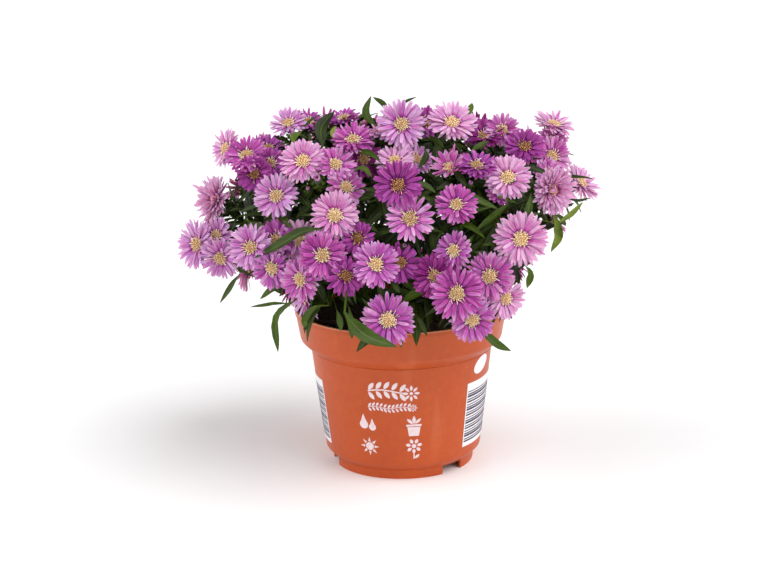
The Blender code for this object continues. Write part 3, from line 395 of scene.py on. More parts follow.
def settle(blooms):
    """Moves blooms until cups of different bunches stack or stand clear and joined ones touch."""
    place = np.array([b.place for b in blooms])
    home = place.copy()
    face = np.array([b.face for b in blooms])
    radius = np.array([b.radius for b in blooms])
    bunch = np.array([b.bunch for b in blooms])
    joined = np.array([[b in a.joined for b in blooms] for a in blooms])[..., None]
    reach = radius[:, None] + radius[None]
    axis = face[:, None] + face[None]
    axis /= np.linalg.norm(axis, axis=2, keepdims=True) + 1e-9
    rivals = (bunch[:, None] != bunch[None]) & (face @ face.T >= 0)
    order = np.arange(len(blooms))
    order = 1e-9 * (order[None] - order[:, None])
    for _ in range(SETTLE_ROUNDS):
        gap = place[None] - place[:, None]
        along = (gap * axis).sum(2)
        side = gap - along[..., None] * axis
        wide = np.linalg.norm(side, axis=2) + 1e-9
        side /= wide[..., None]
        needed = CUP_SLOPE * (reach - wide) + CUP_GAP
        short = np.maximum(np.where(rivals & (wide < reach), needed - np.abs(along), 0), 0)
        spread = np.maximum(reach - wide, 0)
        level = axis * (np.sign(along + order) * short)[..., None]
        push = np.where((spread < short)[..., None], side * spread[..., None], level)
        push[short <= 0] = 0
        want = np.clip(wide, TOUCH_NEAR * reach, TOUCH_FAR * reach)
        push += np.where(joined, side * (want - wide)[..., None], 0)
        lean = np.clip(along, -TOUCH_LEVEL, TOUCH_LEVEL) - along
        push += np.where(joined, axis * lean[..., None], 0)
        place -= SETTLE_STEP * push.sum(1) / np.maximum(1, (np.abs(push).sum(2) > 0).sum(1))[:, None]
        place += HOME_PULL * (home - place)
    for bloom, settled in zip(blooms, place):
        bloom.place = Vector(settled)


def groups_in(blooms):
    """The members of one bunch, in groups that touch."""
    trees = [tree for tree, _ in heads_of(blooms)]
    groups = [[i] for i in range(len(blooms))]
    for i, j in combinations(range(len(blooms)), 2):
        mine, theirs = (next(g for g in groups if k in g) for k in (i, j))
        if mine is not theirs and trees[i].overlap(trees[j]):
            groups.remove(theirs)
            mine += theirs
    return [[blooms[i] for i in group] for group in groups]


def close_up(blooms):
    """Draws the members of each bunch together until they touch."""
    for number in sorted({b.bunch for b in blooms}):
        members = [b for b in blooms if b.bunch == number]
        for _ in range(CLOSE_ROUNDS):
            groups = groups_in(members)
            if len(groups) == 1:
                break
            rest = [b for group in groups[1:] for b in group]
            a, b = min(
                ((a, b) for a in groups[0] for b in rest),
                key=lambda pair: (pair[0].place - pair[1].place).length - pair[0].radius - pair[1].radius,
            )
            step = unit(b.place - a.place) * CLOSE_STEP
            a.place += step
            b.place -= step


def frame_of(face, spin):
    """Two directions square to a face, turned by spin."""
    east = unit(Vector((0, 0, 1)).cross(face)) if abs(face.z) < 0.99 else Vector((1, 0, 0))
    north = face.cross(east)
    return east * cos(spin) + north * sin(spin), north * cos(spin) - east * sin(spin)


def bloom_mesh(bloom, grow=0.0):
    """A closed flower head: petals raised and low in turn, round a coned disc."""
    east, north = frame_of(bloom.face, bloom.spin)

    def point(turn, out, rise):
        return bloom.place + (east * cos(turn) + north * sin(turn)) * out + bloom.face * rise

    count = len(bloom.lengths)
    sector = tau / count
    heart = bloom.radius * HEART
    points = [point(0, 0, DISC_RISE + grow), point(0, 0, -DISC_SINK - grow)]
    faces = []
    points += [point(i * sector, heart, 0) for i in range(count)]
    for i in range(count):
        rise = PETAL_RISE[i % 2]
        length = bloom.radius * PETAL_LENGTH[i % 2] * bloom.lengths[i] + grow
        middle = (i + 0.5) * sector
        half = PETAL_HALF_TURN * sector / 2
        out, up = length * cos(rise), length * sin(rise)
        ridge = heart + (out - heart) * RIDGE_AT
        lift = up * RIDGE_AT + PETAL_THICK + grow
        base = len(points)
        points += [point(middle - half, out, up), point(middle + half, out, up), point(middle, ridge, lift)]
        left, right, top = base, base + 1, base + 2
        near, far = 2 + i, 2 + (i + 1) % count
        faces += [(0, near, top), (0, top, far), (near, left, top), (left, right, top), (right, far, top)]
        faces += [(1, far, near), (near, far, right), (near, right, left)]
    return points, faces


def tree_of(mesh):
    return BVHTree.FromPolygons([tuple(p) for p in mesh[0]], mesh[1])


def heads_of(blooms):
    return [(tree_of(bloom_mesh(b)), b) for b in blooms]


def middle_of(blooms):
    return sum((b.place for b in blooms), Vector()) / len(blooms)


def trim_petals(blooms, greens=()):
    """Shortens each petal that would cross another bunch or a green part not its own."""
    obstacles = [(tree_of(mesh), owner) for mesh, owner in greens]
    for _ in range(TRIM_ROUNDS):
        plain = heads_of(blooms)
        crossing = set()
        for i, a in enumerate(blooms):
            others = [(t, b) for t, b in plain if a.bunch != b.bunch]
            near = [t for t, b in others if (a.place - b.place).length <= 1.1 * (a.radius + b.radius)]
            near += [tree for tree, owner in obstacles if owner is not a]
            grown = tree_of(bloom_mesh(a, CLEARANCE))
            crossing |= {(i, hit[0] // FACES_A_PETAL) for tree in near for hit in grown.overlap(tree)}
        for i, petal in crossing:
            lengths = blooms[i].lengths
            lengths[petal] = max(PETAL_SHORTEST, lengths[petal] * PETAL_TRIM)
        if not crossing:
            break


def bezier(a, b, c, d, t):
    s = 1 - t
    return a * s**3 + b * (3 * s * s * t) + c * (3 * s * t * t) + d * t**3


def along(path, share):
    """The point at a share of a path, counted in its stretches."""
    spot = min(share, 0.9999) * (len(path) - 1)
    return path[int(spot)].lerp(path[int(spot) + 1], spot - int(spot))


def tube(path, radii, sides):
    """A closed tube through the points of a path, with a radius at each."""
    points, faces = [], []
    across = None
    for i, place in enumerate(path):
        along = unit(path[min(i + 1, len(path) - 1)] - path[max(i - 1, 0)])
        if across is None:
            across = along.orthogonal()
        across = unit(across - along * across.dot(along))
        other = along.cross(across)
        for k in range(sides):
            turn = tau * k / sides
            points.append(place + (across * cos(turn) + other * sin(turn)) * radii[i])
    for i in range(len(path) - 1):
        for k in range(sides):
            a, b = i * sides + k, i * sides + (k + 1) % sides
            faces += [(a, b, b + sides), (a, b + sides, a + sides)]
    last = (len(path) - 1) * sides
    for k in range(1, sides - 1):
        faces += [(0, k + 1, k), (last, last + k, last + k + 1)]
    return points, faces


class Stem:
    """A main stem: its lean, its path, and the twigs, stalks and leaves that it bears."""

    def __init__(self, bearing, root, climb, reach):
        out = level(bearing)
        self.lean = out * cos(climb) + upward(sin(climb))
        start = out * root + upward(SOIL_HEIGHT - STEM_DEPTH)
        foot = start + upward(STEM_DEPTH + 4 * MM)
        stand = foot + upward(STEM_STAND)
        fork = CROWN_ROOT + self.lean * reach + out * root
        leads = (foot + stand) / 2, stand.lerp(fork, 0.35)
        self.path = [start] + [bezier(foot, *leads, fork, t) for t in STEM_RUN]
        radii = np.linspace(STEM_RADIUS, STEM_TIP_RADIUS, len(self.path))
        self.tube = tube(self.path, radii, STEM_SIDES)
        self.trees = [tree_of(tube(self.path, radii + CLEARANCE, STEM_SIDES))]
        self.leaves, self.leaf_trees, self.lines, self.twigs = [], [], [], []

    def at(self, share):
        return along(self.path, share)


def main_stems():
    stems = []
    for count, shift, *shape in (
        (OUTER_STEMS, 0.5, OUTER_ROOT, OUTER_CLIMB, OUTER_REACH),
        (INNER_STEMS, 0.25, INNER_ROOT, INNER_CLIMB, INNER_REACH),
    ):
        stems += [Stem(tau * (k + shift) / count, *shape) for k in range(count)]
    return stems


class Spray:
    """The green part under one bunch: its fork, its stalks and the twig that carries them."""

    def __init__(self, blooms):
        self.blooms = blooms
        self.face = unit(sum((b.face for b in blooms), Vector()))
        self.middle = middle_of(blooms)

    def forks(self):
        """Places for the fork, under the middle of the bunch and to each side of that."""
        back = unit(self.face + unit(self.middle - CROWN_ROOT) * 0.6)
        east, north = frame_of(back, 0)
        for depth, a, b in product(SPRAY_DEPTHS, SPRAY_SHIFTS, SPRAY_SHIFTS):
            yield self.middle - back * depth + east * a + north * b

    def lines(self, path, tail=0):
        """The twig, which runs on into the straightest stalk, and the stalks off it, as points."""
        heading = path[-1] - path[-2]
        first, *rest = sorted(self.blooms, key=lambda b: heading.angle(b.place - b.face * 8 * MM - path[-1]))
        made = [(first, stalk_line(first, path[tail:]))]
        return made + [(b, stalk_line(b, [along(path, share)])) for b, share in zip(rest, SIDE_FORKS)]

    def grown(self, path, tail=0):
        """The same with their clearance, as tubes."""
        return [(bloom, stalk_tube(line, CLEARANCE)) for bloom, line in self.lines(path, tail)]


def stalk_line(bloom, path):
    """The points of a stalk that follows the path and ends in its calyx."""
    seat = bloom.place - bloom.face * (DISC_SINK + SEAT_GAP)
    return path + [seat - bloom.face * CALYX_LENGTH, seat]


def stalk_tube(line, grow=0.0):
    radii = [TWIG_RADIUS] * (len(line) - 2) + [STALK_RADIUS, CALYX_RADIUS]
    return tube(line, [radius + grow for radius in radii], STALK_SIDES)


def twig_path(spray, stem, fork, arch, sway):
    """A twig's points, from its place on the stem to the spray's fork."""
    start = stem.at(fork)
    aside = unit(stem.lean.cross(spray.fork - start) + upward(1e-6))
    lead = start + (spray.fork - start) * 0.35 + upward(arch) + aside * sway
    end = spray.fork - unit(spray.middle - CROWN_ROOT) * STALK_DROP + upward(arch * 0.5)
    return [bezier(start, lead, end, spray.fork, share) for share in TWIG_RUN]


def meets_pot(path):
    """Whether a path passes through the pot's rim or wall, or into the compost."""
    for i in range(13):
        p = along(path, i / 12)
        across = hypot(p.x, p.y)
        if BODY_TOP_RADIUS - RIM_MARGIN < across < RIM_RADIUS + RIM_MARGIN and p.z < POT_HEIGHT + 3 * MM:
            return True
        if across <= BODY_TOP_RADIUS - RIM_MARGIN and p.z < SOIL_HEIGHT + 4 * MM:
            return True
    return False


def crosses(mesh, trees):
    tree = tree_of(mesh)
    return sum(1 for other in trees if tree.overlap(other))


def routes(spray, stems):
    """Every way for a twig to reach a spray, the stems that lean most its way first."""
    way = unit(spray.middle - CROWN_ROOT)
    near = sorted(stems, key=lambda stem: -stem.lean.dot(way))[:3]
    for rank, stem in enumerate(near):
        first = len(stem.twigs) % len(TWIG_FORKS)
        forks = TWIG_FORKS[first:] + TWIG_FORKS[:first]
        for fork, arch, sway in product(forks, TWIG_ARCHES, TWIG_SWAYS):
            path = twig_path(spray, stem, fork, arch, sway)
            if not meets_pot(path):
                yield rank, stem, path


def choose_fork(spray, heads):
    """The fork with the clearest ways from it to its blooms, the first of equals."""

    def crossed(fork):
        return sum(
            crosses(stalk_tube(stalk_line(bloom, [fork]), CLEARANCE), [t for t, b in heads if b is not bloom])
            for bloom in spray.blooms
        )

    return min(spray.forks(), key=crossed)


def route_cost(spray, stem, path, stems, heads):
    """How many other stems, blooms and parts of its own stem a spray on this path crosses."""
    rivals = [tree for other in stems if other is not stem for tree in other.trees]
    parts = spray.grown(path)
    return [
        sum(crosses(mesh, rivals) for _, mesh in parts),
        sum(crosses(mesh, [tree for tree, other in heads if other is not bloom]) for bloom, mesh in parts),
        sum(crosses(mesh, stem.trees) for _, mesh in spray.grown(path, tail=1)),
    ]


def grow_sprays(stems, sprays, blooms):
    """Gives each spray its fork and a twig, on the clearest route."""
    heads = heads_of(blooms)
    for spray in sorted(sprays, key=lambda spray: spray.middle.z):
        close = [(t, b) for t, b in heads if (b.place - spray.middle).length < WATCH]
        spray.fork = choose_fork(spray, close)
        best = None
        for rank, stem, path in routes(spray, stems):
            cost = route_cost(spray, stem, path, stems, close) + [rank]
            if best is None or cost < best[0]:
                best = (cost, stem, path)
            if sum(cost[:3]) == 0:
                break
        _, stem, path = best
        stem.lines += spray.lines(path)
        stem.trees += [tree_of(mesh) for _, mesh in spray.grown(path)]
        stem.twigs.append(path)


def leaf_mesh(root, tip, width, normal, droop, grow=0.0):
    """A lance-shaped blade as a closed lens: root, two shoulders a side, tip."""
    along = tip - root
    side = unit(along.cross(normal))
    up = unit(side.cross(along))
    half = width / 2 + grow
    thick = LEAF_THICK / 2 + grow

    def point(share, across, rise):
        bow = droop * 4 * share * (1 - share)
        return root + along * share + side * across + up * (bow + rise)

    points = [
        point(0, 0, 0), point(0.30, -half * 0.85, LEAF_FOLD), point(0.66, -half * 0.72, LEAF_FOLD),
        point(1 + grow / along.length, 0, 0), point(0.66, half * 0.72, LEAF_FOLD),
        point(0.30, half * 0.85, LEAF_FOLD), point(0.45, 0, thick), point(0.45, 0, -thick),
    ]
    return points, [face for i in range(6) for face in ((i, 6, (i + 1) % 6), (i, (i + 1) % 6, 7))]


def nearest_hold(stems, target):
    """Points that a leaf can grow from, nearest first, each with its stem."""
    made = [(stem.at(i / 11), stem) for stem in stems for i in range(6, 12)]
    made += [(along(path, i / 6.5), stem) for stem in stems for path in stem.twigs for i in range(1, 7)]
    made.sort(key=lambda hold: (hold[0] - target).length)
    return [hold for hold in made if (hold[0] - target).length < LEAF_HOLD_REACH][:24]


def grow_leaf(stem, stems, heads, root, tip, width, normal, droop):
    """Adds a leaf to a stem where it is clear of blooms, pot and other leaves."""
    for share in (0.25, 0.5, 0.75, 1.0):
        p = root + (tip - root) * share
        across = hypot(p.x, p.y)
        if p.z < SOIL_HEIGHT + 5 * MM and across < BODY_TOP_RADIUS:
            return False
        if BODY_TOP_RADIUS - 4 * MM < across < RIM_RADIUS + 3 * MM and p.z < POT_HEIGHT + 2 * MM:
            return False
    grown = leaf_mesh(root, tip, width, normal, droop, CLEARANCE)
    outer = leaf_mesh(root + (tip - root) * LEAF_NECK, tip, width, normal, droop, CLEARANCE)
    rivals = heads + [t for other in stems if other is not stem for t in other.trees] + stem.leaf_trees
    if crosses(grown, rivals) or crosses(outer, stem.trees):
        return False
    stem.leaves.append((root - unit(tip - root) * STALK_RADIUS * 0.5, tip, width, normal, droop))
    stem.leaf_trees.append(tree_of(grown))
    stem.trees.append(stem.leaf_trees[-1])
    return True


def seen_leaves(stems, heads):
    """The leaves in LEAVES_SEEN, each from the nearest stem that gives a clear way."""
    placed = 0
    for root_x, root_y, tip_x, tip_y, width, layer in LEAVES_SEEN:
        tip, _ = on_crown(tip_x, tip_y, layer)
        base, _ = on_crown(root_x, root_y, layer - 1)
        placed += any(
            grow_leaf(stem, stems, heads, hold, tip, width * MM, unit(tip - CROWN_ROOT), droop)
            for hold, stem in nearest_hold(stems, base) if 14 * MM < (hold - tip).length < 62 * MM
            for droop in (6 * MM, 2 * MM, 10 * MM, -3 * MM)
        )
    return placed


def rule_leaves(stems, heads, limit):
    """Leaves on every stem and twig, in drawn directions, where there is room."""
    draw = np.random.default_rng(LEAF_SEED)
    placed = 0
    for attempt in range(LEAF_TRIES):
        stem = stems[attempt % len(stems)]
        if stem.twigs and draw.random() < 0.72:
            path = stem.twigs[int(draw.integers(len(stem.twigs)))]
            root = along(path, 0.15 + 0.8 * draw.random())
        else:
            root = stem.at(0.50 + 0.48 * draw.random())
        out = unit(root - CROWN_ROOT + upward(10 * MM))
        stray = Vector([float(v) for v in draw.normal(size=3)])
        way = unit(out * 0.9 + unit(stray) * 0.95)
        length = LEAF_LENGTHS[attempt % len(LEAF_LENGTHS)] * (0.85 + 0.3 * draw.random())
        droop = (3 + 4 * draw.random()) * MM
        width = LEAF_WIDTH * (0.8 + 0.35 * draw.random())
        placed += grow_leaf(stem, stems, heads, root, root + way * length, width, out, droop)
        if placed >= limit:
            break
    return placed


def lathe(profile, sides):
    """A closed solid turned from a profile of radius and height that starts and ends on the axis."""
    points, rings, faces = [], [], []
    for radius, height in profile:
        count = sides if radius else 1
        rings.append(list(range(len(points), len(points) + count)))
        for k in range(count):
            turn = tau * k / sides
            points.append(Vector((radius * cos(turn), radius * sin(turn), height)))
    for a, b in zip(rings, rings[1:] + rings[:1]):
        for k, n in zip(range(sides), [*range(1, sides), 0]):
            if len(a) == 1 < len(b):
                faces.append((a[0], b[n], b[k]))
            elif len(b) == 1 < len(a):
                faces.append((a[k], a[n], b[0]))
            elif len(a) > 1:
                faces += [(a[k], a[n], b[n]), (a[k], b[n], b[k])]
    return points, faces


def bearing_vector(degrees):
    """A level direction at a bearing counted from the front, to the right."""
    return level(radians(degrees - 90))


def lump(x, y):
    """The compost's uneven height, from a few crossed waves."""
    return SOIL_LUMP * (
        0.5 * sin(210 * x + 130 * y) + 0.35 * sin(330 * y - 150 * x + 1)
        + 0.3 * sin(480 * x + 2) * sin(420 * y)
    )


def grow_plant():
    """The sprays of blooms and the stems that carry them."""
    blooms = seen_blooms()
    blooms += unseen_blooms(blooms)
    bunches = gather_bunches(blooms)
    settle(blooms)
    for _ in range(3):
        close_up(blooms)
        trim_petals(blooms)
    stems = main_stems()
    sprays = [Spray([b for b in blooms if b.bunch == number]) for number in range(bunches)]
    grow_sprays(stems, sprays, blooms)
    greens = [(stem.tube, None) for stem in stems]
    greens += [(stalk_tube(line), bloom) for stem in stems for bloom, line in stem.lines]
    trim_petals(blooms, greens)
    heads = [tree for tree, _ in heads_of(blooms)]
    rule_leaves(stems, heads, LEAF_LIMIT - seen_leaves(stems, heads))
    return sprays, stems


# Looks of the blooms: depth of colour, lean from pink to violet, age of the disc, how many petals, and how far
# the petals stand up
LOOKS = {
    "light": (0.13, 0.32, 0.10, 1.05, 0.0),
    "large": (0.20, 0.20, 0.05, 1.20, -0.06),
    "double": (0.10, 0.30, 0.0, 1.40, 0.10),
    "lilac": (0.22, 0.85, 0.30, 0.95, 0.04),
    "pink": (0.38, 0.40, 0.22, 1.0, 0.0),
    "rose": (0.52, 0.40, 0.35, 1.0, 0.0),
    "mauve": (0.42, 0.78, 0.20, 1.0, 0.0),
    "purple": (0.60, 0.85, 0.50, 1.0, 0.0),
    "magenta": (0.90, 0.30, 0.60, 1.1, 0.10),
    "aged": (0.74, 0.65, 1.0, 1.0, 0.0),
    "sparse": (0.30, 0.50, 0.45, 0.68, 0.06),
    "opening": (0.34, 0.15, 0.10, 0.62, 0.42),
}

# The look of each bloom in BLOOMS_SEEN, and those that the other blooms take in turn
# Some of these looks also carry painted light and shade: a few blooms take a paler or deeper look than their
# own colour to make up for how they are lit
LOOKS_SEEN = (
    "lilac purple rose light purple purple aged double lilac large pink magenta pink rose purple light lilac "
    "aged light magenta pink aged light pink pink double pink light large purple opening light lilac aged "
    "sparse large rose large mauve rose pink rose light mauve magenta aged mauve aged aged rose pink mauve "
    "lilac purple light lilac lilac lilac mauve"
).split()
LOOKS_UNSEEN = "pink large rose lilac purple light magenta pink aged light rose purple sparse light".split()

# Blade rows: shares along a petal and a leaf, and half widths there as shares of the widest
PETAL_ROWS = (0.0, 0.18, 0.42, 0.66, 0.84, 0.95, 1.0)
PETAL_WIDTHS = (0.36, 0.64, 0.94, 1.0, 0.88, 0.56, 0.20)
LEAF_ROWS = (0.0, 0.10, 0.22, 0.36, 0.50, 0.64, 0.77, 0.89, 0.96, 1.0)
LEAF_WIDTHS = (0.16, 0.30, 0.66, 0.92, 1.0, 0.92, 0.72, 0.42, 0.19, 0.03)


# Leaves that the photograph shows in front: width in pixels, tone from dark to pale, layer, and the pixel
# columns and rows of three or more places from root to tip
# Each tone is partly the leaf's own colour and partly painted light and shade: paler for lit leaves, darker
# for leaves in the gaps
LEAVES_DRAWN = (
    (7, 0.4, 0, 242, 268, 233, 284, 220, 303), (9, 0.65, 0, 290, 287, 274, 289, 260, 299),
    (5, 0.6, 0, 294, 298, 272, 304, 250, 307), (10, 0.6, 0.5, 297, 299, 277, 318, 278, 352),
    (9, 0.7, 0.5, 343, 301, 318, 307, 306, 318, 304, 328),
    (16, 0.5, 4.2, 340, 300, 350, 320, 368, 337, 397, 347), (7, 0.6, -1, 346, 300, 351, 322, 352, 339),
    (7, 0.55, -1, 335, 305, 340, 320, 341, 331), (5, 0.7, 0, 396, 322, 401, 338, 401, 348),
    (6, 0.3, -0.5, 412, 312, 420, 322, 427, 336), (12, 0.6, 0.5, 478, 326, 494, 343, 511, 351),
    (7, 0.55, 0, 500, 303, 508, 311, 512, 319), (5, 0.15, 0, 511, 260, 517, 274, 519, 286),
    (8, 0.7, 0.3, 522, 262, 530, 274, 527, 288), (9, 0.85, 0.6, 548, 208, 559, 234, 551, 252),
    (6, 0.95, 0, 550, 224, 568, 217, 583, 202), (8, 0.25, 0, 530, 198, 514, 205, 499, 212),
    (7, 0.35, 0.3, 536, 190, 533, 206, 524, 224), (10, 0.15, -0.6, 392, 205, 378, 214, 364, 230),
    (9, 0.1, -0.6, 402, 224, 394, 234, 383, 246), (9, 0.15, -0.3, 318, 196, 310, 206, 296, 218),
    (9, 0.2, -0.3, 462, 178, 450, 184, 436, 190), (8, 0.2, -0.6, 574, 178, 566, 190, 578, 200),
    (7, 0.35, -0.6, 552, 214, 560, 218, 566, 226), (9, 0.2, -0.6, 380, 186, 370, 196, 358, 200),
    (7, 0.12, -0.6, 294, 146, 284, 140, 274, 136), (4, 0.2, 0, 562, 196, 576, 201, 590, 198),
    (4, 0.25, 0, 560, 206, 568, 206, 574, 203), (8, 0.4, 0, 378, 128, 366, 114, 371, 96),
    (6, 0.35, 0, 388, 118, 384, 105, 373, 97), (4, 0.2, 0, 396, 112, 404, 103, 416, 97),
    (7, 0.8, 0, 466, 120, 470, 111, 472, 103), (13, 0.12, 0.2, 322, 150, 321, 128, 334, 112),
    (6, 0.97, 0.8, 338, 144, 333, 134, 336, 126), (7, 0.8, 0, 296, 146, 293, 138, 301, 132),
    (8, 0.45, 1, 385, 166, 368, 153, 348, 151), (10, 0.25, 0.8, 360, 188, 378, 194, 386, 220),
    (6, 0.6, 0.8, 352, 173, 362, 168, 372, 177), (10, 0.15, 0.3, 291, 190, 300, 196, 311, 209),
    (6, 0.45, 0.5, 300, 202, 290, 206, 284, 216), (13, 0.35, 2, 322, 228, 302, 232, 278, 246, 254, 258),
    (9, 0.18, 0, 268, 172, 254, 184, 239, 203), (8, 0.4, 0, 274, 193, 264, 194, 254, 203),
    (6, 0.2, 0, 265, 203, 252, 208, 239, 212), (8, 0.55, 0.3, 243, 216, 255, 226, 268, 226),
    (8, 0.55, 0.3, 265, 222, 280, 218, 292, 228), (11, 0.12, 0, 316, 274, 318, 290, 325, 302),
    (10, 0.5, 0.8, 432, 290, 416, 294, 401, 303), (8, 0.25, 1, 378, 278, 382, 296, 393, 315),
    (7, 0.25, 0.5, 384, 279, 393, 284, 400, 293), (8, 0.35, 2, 531, 190, 529, 208, 521, 231),
    (9, 0.45, 0.9, 516, 198, 497, 214, 476, 231), (8, 0.5, 1, 464, 187, 478, 200, 498, 209),
    (8, 0.45, 0.8, 412, 187, 423, 185, 436, 193), (5, 0.15, 0.5, 470, 182, 482, 182, 496, 184),
    (8, 0.2, 0.8, 426, 146, 426, 158, 419, 168), (7, 0.35, 0.8, 422, 141, 434, 140, 444, 148),
    (7, 0.45, 0.8, 466, 152, 478, 147, 489, 141), (7, 0.3, 0.6, 448, 160, 456, 172, 468, 188),
    (7, 0.3, 0.3, 350, 225, 364, 224, 378, 232), (5, 0.6, 0.3, 556, 152, 564, 155, 570, 165),
    (4, 0.35, 1.6, 508, 186, 516, 180, 528, 186), (5, 0.65, 1, 520, 204, 508, 200, 497, 196),
    (5, 0.6, 1, 521, 205, 530, 214, 540, 214), (7, 0.2, 0.3, 440, 196, 430, 204, 424, 216),
    (8, 0.15, 0.3, 470, 214, 460, 222, 444, 228), (8, 0.2, 0.3, 500, 262, 488, 256, 474, 252),
    (8, 0.15, -0.5, 410, 240, 424, 232, 440, 234), (8, 0.18, -0.5, 345, 236, 336, 246, 322, 250),
)

# Buds: pixel column and row, width in pixels, and how far each faces right and up
BUDS_DRAWN = (
    (318, 181, 11, -10, 30), (281, 256, 6, -20, 10), (308, 191, 6, 0, 60), (404, 246, 6, 10, 10),
    (470, 185, 7, 10, 40), (534, 190, 5, 20, 30), (355, 232, 6, -10, 40), (498, 236, 5, 20, 10),
)


def srgb(red, green, blue):
    """A colour from its eight-bit values, as the linear one that shaders use."""
    shares = red / 255, green / 255, blue / 255
    return tuple(c / 12.92 if c <= 0.04045 else ((c + 0.055) / 1.055) ** 2.4 for c in shares)


class Term:
    """An output of a shader node that can be written into sums."""

    def __init__(self, finish, socket):
        self.finish = finish
        self.socket = socket

    def maths(self, operation, *values, clamp=False):
        settings = {"operation": operation, "use_clamp": clamp}
        return self.finish.node("ShaderNodeMath", settings, dict(enumerate(values)))

    def __add__(self, other):
        return self.maths("ADD", self, other)

    def __sub__(self, other):
        return self.maths("SUBTRACT", self, other)

    def __rsub__(self, other):
        return self.maths("SUBTRACT", other, self)

    def __mul__(self, other):
        return self.maths("MULTIPLY", self, other)

    __radd__ = __add__
    __rmul__ = __mul__

    def size(self):
        return self.maths("ABSOLUTE", self)

    def sine(self):
        return self.maths("SINE", self)

    def held(self):
        """Kept between 0 and 1."""
        return self.maths("ADD", self, 0.0, clamp=True)

    def over(self, low, high):
        """Rises smoothly from 0 to 1 between low and high."""
        values = {"Value": self, "From Min": low, "From Max": high}
        return self.finish.node("ShaderNodeMapRange", {"interpolation_type": "SMOOTHSTEP"}, values)


class Finish:
    """A material or a sky made of nodes."""

    def __init__(self, name, kind="materials", shader="Principled BSDF", **constants):
        self.made = getattr(bpy.data, kind).new(name)
        self.made.use_nodes = True
        self.tree = self.made.node_tree
        self.shader = self.tree.nodes[shader]
        self.give(**constants)

    def feed(self, socket, value):
        if isinstance(value, Term):
            self.tree.links.new(value.socket, socket)
        else:
            socket.default_value = (*value, 1) if socket.type == "RGBA" else value

    def node(self, kind, settings=None, values=None, output=0):
        """Adds a node: its settings first, then the values or links of its sockets."""
        made = self.tree.nodes.new(kind)
        for key, value in (settings or {}).items():
            setattr(made, key, value)
        for key, value in (values or {}).items():
            self.feed(made.inputs[key], value)
        return Term(self, made.outputs[output])

    def quality(self, name):
        """A value that the mesh carries at its points."""
        return self.node("ShaderNodeAttribute", {"attribute_name": name}, output="Fac")

    def place(self, kind="Object"):
        return self.node("ShaderNodeTexCoord", output=kind)

    def clouds(self, scale, detail=2.0, stretch=None):
        spot = self.place()
        if stretch:
            spot = self.node("ShaderNodeVectorMath", {"operation": "MULTIPLY"}, {0: spot, 1: stretch})
        return self.node("ShaderNodeTexNoise", None, {"Vector": spot, "Scale": scale, "Detail": detail})

    def mix(self, share, first, second):
        return self.node("ShaderNodeMix", {"data_type": "RGBA"}, {0: share, 6: first, 7: second}, output=2)

    def ramp(self, share, places, *colours):
        """Colours that follow a share, each from its own place."""
        made = self.node("ShaderNodeValToRGB", None, {"Fac": share})
        stops = made.socket.node.color_ramp.elements
        while len(stops) < len(places):
            stops.new(1)
        for stop, place, colour in zip(stops, places, colours):
            stop.position = place
            stop.color = (*colour, 1)
        return made

    def give(self, **values):
        for name, value in values.items():
            self.feed(self.shader.inputs[name.replace("_", " ")], value)

    def bump(self, height, strength, distance):
        """Raises the surface by a height between 0 and 1, over a distance in metres."""
        values = {"Strength": strength, "Distance": distance, "Height": height}
        self.give(Normal=self.node("ShaderNodeBump", None, values, output="Normal"))
        return self.made


@cache
def petal_finish():
    colours = bpy.context.scene.aster_blooms
    f = Finish("aster_petal", Roughness=0.48, Specular_IOR_Level=0.2)
    f.give(Subsurface_Weight=0.3, Subsurface_Scale=0.001)
    reach, across, depth, violet, own = map(f.quality, ("reach", "across", "depth", "violet", "own"))
    lines = (across * 8.5 + own * 6.0).sine() * 0.5 + 0.5
    veins = f.clouds(900, 3.0)
    shade = depth + (own - 0.5) * 0.34 + (veins - 0.5) * 0.16 + (lines - 0.5) * 0.15
    # Darker towards the disc: partly the petals' own deeper base, partly painted shade where the petals crowd
    # round the disc
    shade = shade + (0.70 - reach.over(0.0, 0.46) * 0.70) - reach.over(0.60, 1.0) * 0.16
    shade = (shade - across.size().over(0.50, 1.0) * 0.14).held()
    pink = f.ramp(shade, (0, 0.42, 1), colours.pale, colours.middle, colours.deep)
    lilac = f.ramp(shade, (0, 0.42, 1), srgb(210, 168, 216), srgb(162, 76, 172), srgb(80, 6, 96))
    f.give(Base_Color=f.mix(violet * 0.62, pink, lilac))
    return f.bump(lines * 0.6 + veins * 0.4, 0.35, 0.0002)


@cache
def disc_finish():
    f = Finish("aster_floret", Roughness=0.6, Specular_IOR_Level=0.3)
    reach, age = f.quality("reach"), f.quality("age")
    grain = f.clouds(1500)
    tips = (reach + (grain - 0.5) * 0.5).over(0.30, 0.85)
    fresh = f.mix(tips, srgb(228, 184, 130), bpy.context.scene.aster_blooms.disc_colour)
    old = f.mix(tips, srgb(122, 66, 42), srgb(224, 172, 112))
    f.give(Base_Color=f.mix(age.over(0.0, 0.9), fresh, old))
    return f.bump(grain, 0.3, 0.0002)


@cache
def style_finish():
    f = Finish("aster_style", Roughness=0.55, Specular_IOR_Level=0.3)
    reach, age = f.quality("reach"), f.quality("age")
    grain = f.clouds(1100)
    fresh = f.mix(reach.over(0.1, 0.6), srgb(232, 190, 150), srgb(255, 246, 214))
    old = f.mix(reach.over(0.2, 0.9), srgb(130, 80, 70), srgb(235, 196, 130))
    f.give(Base_Color=f.mix((age + (grain - 0.5) * 0.5).over(0.3, 1.0), fresh, old))
    return f.bump(grain, 0.2, 0.0001)


